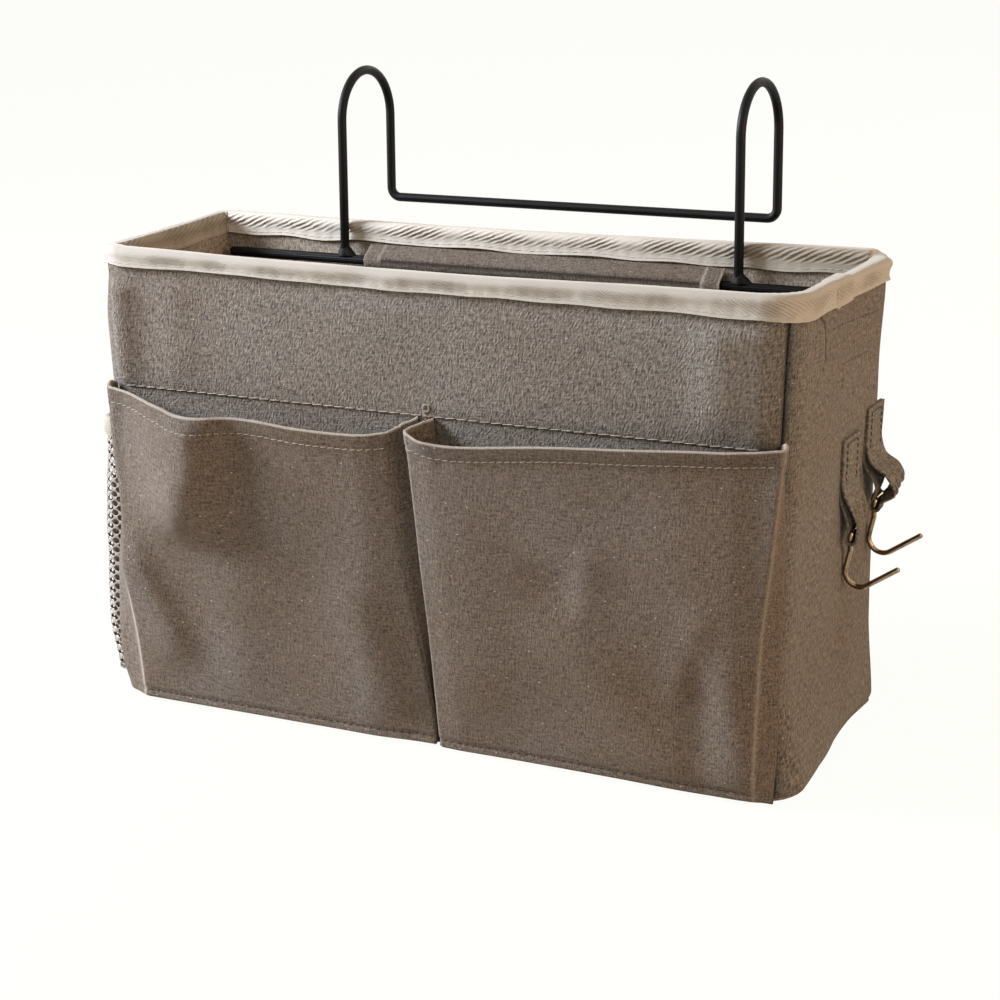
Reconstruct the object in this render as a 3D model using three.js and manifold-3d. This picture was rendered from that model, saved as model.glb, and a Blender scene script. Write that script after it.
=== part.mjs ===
// Bedside caddy: a lined canvas bin on a bent wire hanger, with two pleated front pockets,
// a net pocket on the left side and two wire hooks on straps on the right side.
// Millimetres, +Z up, -Y is the front and +X the right side seen from the front.
// The origin is the centre of the underside.
import * as THREE from 'three';
import { mergeVertices } from 'three/addons/utils/BufferGeometryUtils.js';
import Module from 'manifold-3d';

const wasm = await Module();
wasm.setup();

// Bag: height to the rim, and the plan at the rim and at the base
const BAG_HEIGHT = 197;
const RIM_WIDTH = 320;
const RIM_DEPTH = 100;
const BASE_WIDTH = 304;
const BASE_DEPTH = 118;
const FRONT_CORNER_RADIUS = 16;
const BACK_CORNER_RADIUS = 6;

// Cloth and board thicknesses, and the clearance kept between neighbours
const GAP = 0.3;
const CANVAS = 0.9;
const LINING = 0.7;
const WALL_BOARD = 1.4;
const BASE_BOARD = 2;
const BOARD_MARGIN = 2;

// Rim binding: a tape folded over the wall, with one lap on the right side
const TAPE = 0.9;
const TAPE_LEAF = 10;
const LAP_LENGTH = 14;
const LAP_CENTRE_Y = -5;
const LAP_EDGE = 0.2;

// Front pockets: a face in front of the wall, gussets at both ends and a turned hem
const POCKET_FACE = 65;
const POCKET_FOOT_RISE = 4;
const POCKET_FOOT_DEPTH = 1.6;
const POCKET_MOUTH = 134;
const POCKET_END_LIFT = 8;
const POCKET_SAG = 2;
const POCKET_HEM = 9;
const LEFT_FOLD_FOOT = -9;
const LEFT_FOLD_MOUTH = -5;
const RIGHT_FOLD_FOOT = -1.5;
const RIGHT_FOLD_MOUTH = 6;
const PLEAT_WIDTH = 9;
const PLEAT_LEAN = 3.4;
const DIVIDER_FOOT_X = 8;
const DIVIDER_MOUTH_X = -3;
const FACE_COLUMNS = 6;

// Net pocket on the left wall
const NET = 0.8;
const NET_STAND_OFF = 9;
const NET_FOOT = 6;
const NET_MOUTH = 120;
const NET_SLOPE = 5;
const NET_REAR_MARGIN = 14;
const NET_START_ANGLE = 65;
const NET_ROWS = 11;
const NET_FACE_COLUMNS = 9;
const NET_SIDE_COLUMNS = 1;
const NET_HOLE = 0.78;
const NET_TAPE = 0.7;
const NET_TAPE_LEAF = 8;

// Hanger: round wire, a base bar inside the back wall and a frame with two arches
const WIRE = 4;
const WIRE_SIDES = 10;
const BAR_LENGTH = 304;
const BAR_SHIFT_X = -3.5;
const BAR_DROP = 17;
const BAR_OFF_LINING = 5.4;
const HANGER_CENTRE_X = 4.5;
const ARCH_SPACING = 189;
const ARCH_GAP = 42.5;
const ARCH_TOP = 82;
const CROSSBAR_RISE = 23;
const CROSSBAR_CORNER_RADIUS = 4.5;
const HANGER_LEAN = 3;
const BEND_STEPS = 6;
const WELD_HEIGHT = 2.4;
const WELD_FOOT = 1.5;
const WELD_CROWN = 0.5;
const WELD_SIDES = 16;

// Flap that folds over the base bar and closes on fastening tape
const FLAP = 0.8;
const FLAP_BAR_CLEARANCE = 0.4;
const FLAP_LEG_CLEARANCE = 7;
const FLAP_TOP_CLEARANCE = 0.8;
const FLAP_LENGTH = 38;
const FASTENER = 1;
const FASTENER_HEIGHT = 18;
const FASTENER_MARGIN = 3;

// Hook straps on the right wall and the wire hooks in them
const STRAP = 0.9;
const STRAP_WIDTH = 16;
const STRAP_LOOP_WIDTH = 7;
const STRAP_PATCH = 23;
const STRAP_DROP = 16;
const STRAP_STAND_OFF = 5.5;
const FRONT_STRAP_Y = 12;
const FRONT_STRAP_TOP = 130;
const REAR_STRAP_Y = 40;
const REAR_STRAP_TOP = 136;
const HOOK_WIRE = 2.2;
const HOOK_SIDES = 8;
const HOOK_CLEARANCE = 0.4;
const EYE_WIDTH = 13;
const EYE_HEIGHT = 9;
const EYE_CORNER_RADIUS = 1.6;
const SHANK_LENGTH = 8;
const HOOK_BEND_RADIUS = 6;
const PRONG_LENGTH = 16;
const PRONG_RISE = 47;
const HOOK_LEAN = 14;

// Insets and heights that follow from the layers
const BOARD_INSET = CANVAS + GAP;
const LINING_INSET = BOARD_INSET + WALL_BOARD + GAP;
const INNER_INSET = LINING_INSET + LINING;
const WALL_FOOT = CANVAS + GAP;
const WALL_TOP = BAG_HEIGHT - TAPE - GAP;
const BOARD_FOOT = WALL_FOOT + BASE_BOARD + GAP;
const LINING_FOOT = BOARD_FOOT + LINING + GAP;
const BAR_HEIGHT = BAG_HEIGHT - BAR_DROP;
const SEAM_ANGLE = Math.PI / 4;
const FRONT_CORNER_STEPS = 3;
const BACK_CORNER_STEPS = 2;

const { lerp, degToRad } = THREE.MathUtils;
const halfWidth = (z) => lerp(BASE_WIDTH, RIM_WIDTH, z / BAG_HEIGHT) / 2;
const halfDepth = (z) => lerp(BASE_DEPTH, RIM_DEPTH, z / BAG_HEIGHT) / 2;
const SIDE_TILT = Math.atan2(RIM_WIDTH - BASE_WIDTH, 2 * BAG_HEIGHT);
const BACK_TILT = Math.atan2(BASE_DEPTH - RIM_DEPTH, 2 * BAG_HEIGHT);

// Materials
const cloth = (color) => new THREE.MeshStandardMaterial({ color, roughness: 0.95, metalness: 0 });
const canvasMaterial = cloth(0x8a8076);
const liningMaterial = cloth(0x877c70);
const boardMaterial = cloth(0x9a9288);
const tapeMaterial = cloth(0xd8cdb9);
const netMaterial = cloth(0xd9d6d0);
const fastenerMaterial = cloth(0x6f665d);
const blackWire = new THREE.MeshStandardMaterial({ color: 0x161616, roughness: 0.45, metalness: 0.3 });
const bronzeWire = new THREE.MeshStandardMaterial({ color: 0x8a7358, roughness: 0.3, metalness: 0.8 });

const caddy = new THREE.Group();
caddy.name = 'bedside_caddy';

function addPiece(name, geometry, material, parent = caddy) {
  const mesh = new THREE.Mesh(geometry, material.clone());
  mesh.name = name;
  parent.add(mesh);
  return mesh;
}

// Geometry from points and triangles, turned face-outward if its volume comes out negative
function closedGeometry(points, triangles) {
  const volume = triangles.reduce((sum, [a, b, c]) => {
    return sum + points[a].dot(new THREE.Vector3().crossVectors(points[b], points[c]));
  }, 0);
  const index = volume < 0 ? triangles.map(([a, b, c]) => [a, c, b]) : triangles;
  const geometry = new THREE.BufferGeometry().setFromPoints(points);
  geometry.setIndex(index.flat());
  geometry.computeVertexNormals();
  return geometry;
}

// A thin piece: at(column, row, face) gives its points, face 0 outside and face 1 inside
function sheet(columns, rows, at) {
  const points = [];
  const triangles = [];
  for (let face = 0; face < 2; face++) {
    for (let row = 0; row <= rows; row++) {
      for (let column = 0; column <= columns; column++) {
        points.push(at(column, row, face));
      }
    }
  }
  const id = (column, row, face) => (face * (rows + 1) + row) * (columns + 1) + column;
  const quad = (a, b, c, d) => triangles.push([a, b, c], [a, c, d]);
  for (let row = 0; row < rows; row++) {
    for (let column = 0; column < columns; column++) {
      const next = column + 1;
      quad(id(column, row, 0), id(next, row, 0), id(next, row + 1, 0), id(column, row + 1, 0));
      quad(id(column, row, 1), id(column, row + 1, 1), id(next, row + 1, 1), id(next, row, 1));
    }
    quad(id(0, row, 0), id(0, row + 1, 0), id(0, row + 1, 1), id(0, row, 1));
    quad(id(columns, row, 0), id(columns, row, 1), id(columns, row + 1, 1), id(columns, row + 1, 0));
  }
  for (let column = 0; column < columns; column++) {
    const next = column + 1;
    quad(id(column, 0, 0), id(column, 0, 1), id(next, 0, 1), id(next, 0, 0));
    quad(id(column, rows, 0), id(next, rows, 0), id(next, rows, 1), id(column, rows, 1));
  }
  return closedGeometry(points, triangles);
}

// A section carried through stations: at(station, corner) gives its points.
// A closed loft joins the last station to the first, an open one gets end caps.
function loft(stations, contour, at, closed) {
  const corners = contour.length;
  const points = [];
  const triangles = [];
  for (let station = 0; station < stations; station++) {
    for (let corner = 0; corner < corners; corner++) {
      points.push(at(station, corner));
    }
  }
  const spans = closed ? stations : stations - 1;
  for (let station = 0; station < spans; station++) {
    for (let corner = 0; corner < corners; corner++) {
      const a = station * corners + corner;
      const b = station * corners + ((corner + 1) % corners);
      const c = ((station + 1) % stations) * corners + ((corner + 1) % corners);
      const d = ((station + 1) % stations) * corners + corner;
      triangles.push([a, b, c], [a, c, d]);
    }
  }
  if (!closed) {
    const last = (stations - 1) * corners;
    const winding = Math.sign(THREE.ShapeUtils.area(contour));
    for (const face of THREE.ShapeUtils.triangulateShape(contour, [])) {
      const faceWinding = Math.sign(THREE.ShapeUtils.area(face.map((corner) => contour[corner])));
      const [a, b, c] = faceWinding === winding ? face : face.toReversed();
      triangles.push([a, c, b], [last + a, last + b, last + c]);
    }
  }
  return closedGeometry(points, triangles);
}

// Side-to-side offset of an open polyline, with mitred corners
function offsetLine(line, distance) {
  return line.map((point, i) => {
    const before = i > 0 ? point.clone().sub(line[i - 1]).normalize() : null;
    const after = i < line.length - 1 ? line[i + 1].clone().sub(point).normalize() : null;
    const first = before ?? after;
    const second = after ?? before;
    const normal = new THREE.Vector2(first.y + second.y, -first.x - second.x).normalize();
    const stretch = normal.dot(new THREE.Vector2(first.y, -first.x));
    return point.clone().addScaledVector(normal, distance / stretch);
  });
}

// Points of a polyline with each inner corner rounded to its own radius
function roundedPath(corners, radii, steps) {
  const path = [corners[0]];
  for (let i = 1; i < corners.length - 1; i++) {
    const toBefore = corners[i - 1].clone().sub(corners[i]).normalize();
    const toAfter = corners[i + 1].clone().sub(corners[i]).normalize();
    const half = toBefore.angleTo(toAfter) / 2;
    const bisector = toBefore.clone().add(toAfter).normalize();
    const centre = corners[i].clone().addScaledVector(bisector, radii[i - 1] / Math.sin(half));
    const start = corners[i].clone().addScaledVector(toBefore, radii[i - 1] / Math.tan(half)).sub(centre);
    const axis = new THREE.Vector3().crossVectors(toAfter, toBefore).normalize();
    const turn = Math.PI - 2 * half;
    for (let step = 0; step <= steps; step++) {
      path.push(start.clone().applyAxisAngle(axis, (turn * step) / steps).add(centre));
    }
  }
  path.push(corners[corners.length - 1]);
  return path;
}

// A curve with one ring at each given point, so that straight runs stay light
class WirePath extends THREE.Curve {
  constructor(stations) {
    super();
    this.stations = stations;
  }

  getPointAt(t) {
    return this.stations[Math.round(t * (this.stations.length - 1))].clone();
  }

  getTangentAt(t) {
    const i = Math.round(t * (this.stations.length - 1));
    const before = this.stations[Math.max(i - 1, 0)];
    const after = this.stations[Math.min(i + 1, this.stations.length - 1)];
    return after.clone().sub(before).normalize();
  }
}

function polygon(radius, sides) {
  return Array.from({ length: sides }, (_, i) => {
    const angle = (2 * Math.PI * i) / sides;
    return new THREE.Vector2(radius * Math.cos(angle), radius * Math.sin(angle));
  });
}

function roundWire(stations, diameter, sides) {
  return new THREE.ExtrudeGeometry(new THREE.Shape(polygon(diameter / 2, sides)), {
    steps: stations.length - 1,
    bevelEnabled: false,
    extrudePath: new WirePath(stations),
  });
}

// Solids for cutting, and back to geometry
function solid(geometry) {
  const bare = geometry.clone();
  bare.deleteAttribute('normal');
  bare.deleteAttribute('uv');
  const merged = mergeVertices(bare, 1e-4);
  return new wasm.Manifold(new wasm.Mesh({
    numProp: 3,
    vertProperties: merged.attributes.position.array,
    triVerts: new Uint32Array(merged.index.array),
  }));
}

function geometryOf(body) {
  const mesh = body.getMesh();
  const geometry = new THREE.BufferGeometry();
  geometry.setAttribute('position', new THREE.BufferAttribute(mesh.vertProperties, 3));
  geometry.setIndex(new THREE.BufferAttribute(mesh.triVerts, 1));
  geometry.computeVertexNormals();
  return geometry;
}

function extrude(shape, depth) {
  return new THREE.ExtrudeGeometry(shape, { depth, bevelEnabled: false, curveSegments: BEND_STEPS });
}

// A cylinder that lies along X
function cylinderAlongX(radius, length, sides) {
  return new THREE.CylinderGeometry(radius, radius, length, sides).rotateZ(Math.PI / 2);
}

// One corner of the bag in plan; angle 0 is on the front or back, 90 degrees on the side
function cornerPoint(sideX, sideY, inset, z, angle) {
  const radius = sideY < 0 ? FRONT_CORNER_RADIUS : BACK_CORNER_RADIUS;
  const x = halfWidth(z) - radius + (radius - inset) * Math.sin(angle);
  const y = halfDepth(z) - radius + (radius - inset) * Math.cos(angle);
  return new THREE.Vector2(sideX * x, sideY * y);
}

function cornerRun(sideX, sideY, inset, z, from, to, steps) {
  return Array.from({ length: steps + 1 }, (_, i) => {
    return cornerPoint(sideX, sideY, inset, z, lerp(from, to, i / steps));
  });
}

// Half a seam gap, as an angle on the corner it runs through
function seamTrim(sideY, inset) {
  const radius = sideY < 0 ? FRONT_CORNER_RADIUS : BACK_CORNER_RADIUS;
  return GAP / 2 / (radius - inset);
}

// Plan of the front (-1) or back (+1) wall between its corner seams
function faceWallPlan(sideY, inset, z) {
  const steps = sideY < 0 ? FRONT_CORNER_STEPS : BACK_CORNER_STEPS;
  const seam = SEAM_ANGLE - seamTrim(sideY, inset);
  return [
    ...cornerRun(-1, sideY, inset, z, seam, 0, steps),
    ...cornerRun(1, sideY, inset, z, 0, seam, steps),
  ];
}

// Plan of the left (-1) or right (+1) wall between its corner seams
function sideWallPlan(sideX, inset, z) {
  const front = SEAM_ANGLE + seamTrim(-1, inset);
  const back = SEAM_ANGLE + seamTrim(1, inset);
  return [
    ...cornerRun(sideX, -1, inset, z, front, Math.PI / 2, FRONT_CORNER_STEPS),
    ...cornerRun(sideX, 1, inset, z, Math.PI / 2, back, BACK_CORNER_STEPS),
  ];
}

// Flat part of a wall, where a board fits
function flatWallPlan(plan, steps) {
  return (inset, z) => {
    const points = plan(inset, z);
    const start = points[steps[0]];
    const end = points[points.length - 1 - steps[1]];
    const along = end.clone().sub(start).normalize().multiplyScalar(BOARD_MARGIN);
    return [start.clone().add(along), end.clone().sub(along)];
  };
}

function wall(plan, inset, thickness, foot, top) {
  const columns = plan(inset, foot).length - 1;
  return sheet(columns, 1, (column, row, face) => {
    const z = row ? top : foot;
    const point = plan(inset + face * thickness, z)[column];
    return new THREE.Vector3(point.x, point.y, z);
  });
}

// Whole plan of the bag
function loopPlan(inset, z) {
  const right = Math.PI / 2;
  return [
    ...cornerRun(-1, -1, inset, z, right, 0, 2 * FRONT_CORNER_STEPS),
    ...cornerRun(1, -1, inset, z, 0, right, 2 * FRONT_CORNER_STEPS),
    ...cornerRun(1, 1, inset, z, right, 0, 2 * BACK_CORNER_STEPS),
    ...cornerRun(-1, 1, inset, z, 0, right, 2 * BACK_CORNER_STEPS),
  ];
}

function basePlate(inset, z, thickness) {
  return extrude(new THREE.Shape(loopPlan(inset, z)), thickness).translate(0, 0, z);
}

function buildShell() {
  const frontSteps = FRONT_CORNER_STEPS;
  const backSteps = BACK_CORNER_STEPS;
  const walls = {
    front: { plan: (inset, z) => faceWallPlan(-1, inset, z), steps: [frontSteps, frontSteps] },
    back: { plan: (inset, z) => faceWallPlan(1, inset, z), steps: [backSteps, backSteps] },
    left: { plan: (inset, z) => sideWallPlan(-1, inset, z), steps: [frontSteps, backSteps] },
    right: { plan: (inset, z) => sideWallPlan(1, inset, z), steps: [frontSteps, backSteps] },
  };
  for (const [side, { plan, steps }] of Object.entries(walls)) {
    const boardPlan = flatWallPlan(plan, steps);
    const boardTop = WALL_TOP - BOARD_MARGIN;
    addPiece(`${side}_panel`, wall(plan, 0, CANVAS, WALL_FOOT, WALL_TOP), canvasMaterial);
    addPiece(`${side}_board`, wall(boardPlan, BOARD_INSET, WALL_BOARD, BOARD_FOOT, boardTop), boardMaterial);
    addPiece(`${side}_lining`, wall(plan, LINING_INSET, LINING, LINING_FOOT, WALL_TOP), liningMaterial);
  }
  addPiece('bottom_panel', basePlate(0, 0, CANVAS), canvasMaterial);
  addPiece('base_board', basePlate(BOARD_INSET, WALL_FOOT, BASE_BOARD), boardMaterial);
  addPiece('bottom_lining', basePlate(LINING_INSET, BOARD_FOOT, LINING), liningMaterial);
}

// The rim binding; its stations follow the rim, with four more for the lap
function buildRimBinding() {
  const afterFrontRight = 4 * FRONT_CORNER_STEPS + 2;
  const lapEnds = [-LAP_LENGTH / 2, LAP_EDGE - LAP_LENGTH / 2, LAP_LENGTH / 2 - LAP_EDGE, LAP_LENGTH / 2];
  const isLapped = (station) => station === afterFrontRight + 1 || station === afterFrontRight + 2;
  const stationPoint = (station, inset, z) => {
    const loop = loopPlan(inset, z);
    const lapPoints = lapEnds.map((y) => new THREE.Vector2(halfWidth(z) - inset, LAP_CENTRE_Y + y));
    loop.splice(afterFrontRight, 0, ...lapPoints);
    return loop[station];
  };
  const low = BAG_HEIGHT - TAPE_LEAF;
  const section = (thickness) => {
    const top = BAG_HEIGHT - TAPE + thickness;
    const inner = INNER_INSET + GAP;
    return [
      [-GAP - thickness, low],
      [-GAP - thickness, top - thickness],
      [-GAP, top],
      [inner, top],
      [inner + thickness, top - thickness],
      [inner + thickness, low],
      [inner, low],
      [inner, BAG_HEIGHT - TAPE],
      [-GAP, BAG_HEIGHT - TAPE],
      [-GAP, low],
    ].map(([inset, z]) => new THREE.Vector2(inset, z));
  };
  const stations = loopPlan(0, low).length + lapEnds.length;
  const at = (station, corner) => {
    const { x: inset, y: z } = section(isLapped(station) ? 2 * TAPE : TAPE)[corner];
    const point = stationPoint(station, inset, z);
    return new THREE.Vector3(point.x, point.y, z);
  };
  addPiece('rim_binding', loft(stations, section(TAPE), at, true), tapeMaterial);
}

// Plan of one front pocket at a height, from its inner seam round the face to the side seam
function pocketPlan(side, z) {
  const rise = THREE.MathUtils.clamp((z - WALL_FOOT) / POCKET_FOOT_RISE, 0, 1);
  const seat = -halfDepth(z) - GAP - CANVAS / 2;
  const fullDepth = POCKET_FACE + seat;
  const depth = lerp(POCKET_FOOT_DEPTH, fullDepth, Math.sin((rise * Math.PI) / 2));
  const fullness = depth / fullDepth;
  const seamX = lerp(DIVIDER_FOOT_X, DIVIDER_MOUTH_X, z / POCKET_MOUTH) + (side * PLEAT_WIDTH) / 2;
  const sideSeam = cornerPoint(side, -1, -GAP - CANVAS, z, SEAM_ANGLE);
  const innerFold = new THREE.Vector2(seamX - side * PLEAT_LEAN * fullness, seat - depth);
  const [footFlare, mouthFlare] = side < 0
    ? [LEFT_FOLD_FOOT, LEFT_FOLD_MOUTH]
    : [RIGHT_FOLD_FOOT, RIGHT_FOLD_MOUTH];
  const flare = lerp(footFlare, mouthFlare, z / POCKET_MOUTH);
  const outerFold = new THREE.Vector2(sideSeam.x + side * flare * fullness, seat - depth);
  const line = [new THREE.Vector2(seamX, seat)];
  for (let column = 0; column <= FACE_COLUMNS; column++) {
    line.push(innerFold.clone().lerp(outerFold, column / FACE_COLUMNS));
  }
  line.push(sideSeam);
  return line;
}

// Mouth height along a pocket: lifted at the side seam, sagging in the middle
function mouthHeight(column) {
  const along = THREE.MathUtils.clamp((column - 1) / FACE_COLUMNS, 0, 1);
  return POCKET_MOUTH + POCKET_END_LIFT * along ** 4 - POCKET_SAG * Math.sin(Math.PI * along);
}

function pocket(side) {
  const hemLine = POCKET_MOUTH - POCKET_HEM;
  const footSteps = [0, 0.12, 0.35, 0.65, 1].map((part) => WALL_FOOT + part * POCKET_FOOT_RISE);
  const heights = [...footSteps, hemLine, hemLine + GAP, POCKET_MOUTH];
  return sheet(FACE_COLUMNS + 2, heights.length - 1, (column, row, face) => {
    const share = (heights[row] - WALL_FOOT) / (POCKET_MOUTH - WALL_FOOT);
    const z = lerp(WALL_FOOT, mouthHeight(column), share);
    const hemmed = heights[row] > hemLine ? CANVAS : 0;
    const distance = side * (face ? -CANVAS / 2 - hemmed : CANVAS / 2);
    const point = offsetLine(pocketPlan(side, z), distance)[column];
    return new THREE.Vector3(point.x, point.y, z);
  });
}

// Plan of the net pocket at a height: front end, two outer corners, rear end
function netPlan(z) {
  const front = cornerPoint(-1, -1, -GAP, z, degToRad(NET_START_ANGLE));
  const outer = -halfWidth(NET_MOUTH) - NET_STAND_OFF;
  const rear = halfDepth(z) - NET_REAR_MARGIN;
  return [
    front,
    new THREE.Vector2(outer, front.y + NET_SLOPE),
    new THREE.Vector2(outer, rear),
    new THREE.Vector2(-halfWidth(z) - GAP, rear + NET_SLOPE),
  ];
}

// A net with diamond holes: lattice(i, j) runs over half cells, face 0 outside and 1 inside
function diamondNet(columns, rows, at) {
  const points = [];
  const triangles = [];
  const known = new Map();
  const id = (i, j, face) => {
    const key = `${i.toFixed(4)},${j.toFixed(4)},${face}`;
    if (!known.has(key)) {
      known.set(key, points.length);
      points.push(at(i / (2 * columns), j / (2 * rows), face));
    }
    return known.get(key);
  };
  const flat = (corners) => {
    for (let k = 1; k < corners.length - 1; k++) {
      const [a, b, c] = [corners[0], corners[k], corners[k + 1]];
      triangles.push([id(...a, 0), id(...b, 0), id(...c, 0)]);
      triangles.push([id(...a, 1), id(...c, 1), id(...b, 1)]);
    }
  };
  const edge = (a, b) => {
    triangles.push([id(...a, 0), id(...a, 1), id(...b, 1)], [id(...a, 0), id(...b, 1), id(...b, 0)]);
  };
  const across = 2 * columns;
  const up = 2 * rows;
  const inside = ([i, j]) => i >= 0 && j >= 0 && i <= across && j <= up;
  for (let i = 0; i <= across; i++) {
    for (let j = i % 2; j <= up; j += 2) {
      const ring = [[i + 1, j], [i, j + 1], [i - 1, j], [i, j - 1]];
      if (ring.every(inside)) {
        const hole = ring.map(([x, y]) => [lerp(i, x, NET_HOLE), lerp(j, y, NET_HOLE)]);
        for (let k = 0; k < 4; k++) {
          const next = (k + 1) % 4;
          flat([ring[k], ring[next], hole[next], hole[k]]);
          edge(hole[next], hole[k]);
        }
        continue;
      }
      // Cells cut by the border stay filled
      const corner = ring.filter(inside);
      if (corner.length === 2) {
        corner.push([i, j]);
      }
      const turn = (corner[1][0] - corner[0][0]) * (corner[2][1] - corner[0][1])
        - (corner[1][1] - corner[0][1]) * (corner[2][0] - corner[0][0]);
      flat(turn > 0 ? corner : corner.toReversed());
    }
  }
  // Border, in order round the sheet
  const odd = (last) => Array.from({ length: last / 2 }, (_, k) => 2 * k + 1);
  const border = [
    [0, 0], ...odd(across).map((i) => [i, 0]),
    [across, 0], ...odd(up).map((j) => [across, j]),
    [across, up], ...odd(across).reverse().map((i) => [i, up]),
    [0, up], ...odd(up).reverse().map((j) => [0, j]),
  ];
  border.forEach((point, k) => edge(point, border[(k + 1) % border.length]));
  return closedGeometry(points, triangles);
}

function netFace(start, columns) {
  return diamondNet(columns, NET_ROWS, (s, t, face) => {
    const z = lerp(NET_FOOT, NET_MOUTH, t);
    const plan = netPlan(z);
    const [a, b] = [plan[start], plan[start + 1]];
    const along = b.clone().sub(a).normalize();
    const point = a.clone().addScaledVector(along, lerp(NET, a.distanceTo(b) - NET, s));
    point.x += along.y * (face - 0.5) * NET;
    point.y -= along.x * (face - 0.5) * NET;
    return new THREE.Vector3(point.x, point.y, z);
  });
}

function buildNetPocket() {
  addPiece('net_pocket_front_side', netFace(0, NET_SIDE_COLUMNS), netMaterial);
  addPiece('net_pocket_face', netFace(1, NET_FACE_COLUMNS), netMaterial);
  addPiece('net_pocket_rear_side', netFace(2, NET_SIDE_COLUMNS), netMaterial);

  const clothTop = NET_FOOT - GAP;
  const outline = netPlan(clothTop);
  const wallX = -halfWidth(clothTop) - GAP;
  outline[0] = new THREE.Vector2(wallX, outline[1].y - NET_SLOPE / 2);
  const bottom = extrude(new THREE.Shape(outline), CANVAS).translate(0, 0, clothTop - CANVAS);
  addPiece('net_pocket_bottom', bottom, canvasMaterial);

  // The mouth binding folds over the top edge of the net
  const inside = NET / 2 + GAP;
  const outside = inside + NET_TAPE;
  const roof = NET_MOUTH + GAP;
  const low = roof + NET_TAPE - NET_TAPE_LEAF;
  const section = [
    [-outside, low], [-outside, roof + NET_TAPE], [outside, roof + NET_TAPE], [outside, low],
    [inside, low], [inside, roof], [-inside, roof], [-inside, low],
  ].map(([offset, z]) => new THREE.Vector2(offset, z));
  const at = (station, corner) => {
    const { x: offset, y: z } = section[corner];
    const plan = netPlan(z);
    plan[0].lerp(plan[1], outside / plan[0].distanceTo(plan[1]));
    plan[3].lerp(plan[2], outside / plan[3].distanceTo(plan[2]));
    const point = offsetLine(plan, offset)[station];
    return new THREE.Vector3(point.x, point.y, z);
  };
  addPiece('net_pocket_binding', loft(4, section, at, false), tapeMaterial);
}

// Point where the tangent from an outside point touches a circle; turn picks the side
function tangentPoint(outside, centre, radius, turn) {
  const away = outside.clone().sub(centre);
  const swing = turn * Math.acos(radius / away.length());
  return away.normalize().rotateAround(new THREE.Vector2(), swing).multiplyScalar(radius).add(centre);
}

// Points on a circle between two of its points, turning anticlockwise for a positive step
function arcBetween(start, end, centre, radius, direction) {
  const from = start.clone().sub(centre).angle();
  let sweep = end.clone().sub(centre).angle() - from;
  if (direction * sweep < 0) {
    sweep += direction * 2 * Math.PI;
  }
  return Array.from({ length: BEND_STEPS + 3 }, (_, i) => {
    const angle = from + (sweep * i) / (BEND_STEPS + 2);
    return new THREE.Vector2(centre.x + radius * Math.cos(angle), centre.y + radius * Math.sin(angle));
  });
}

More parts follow.
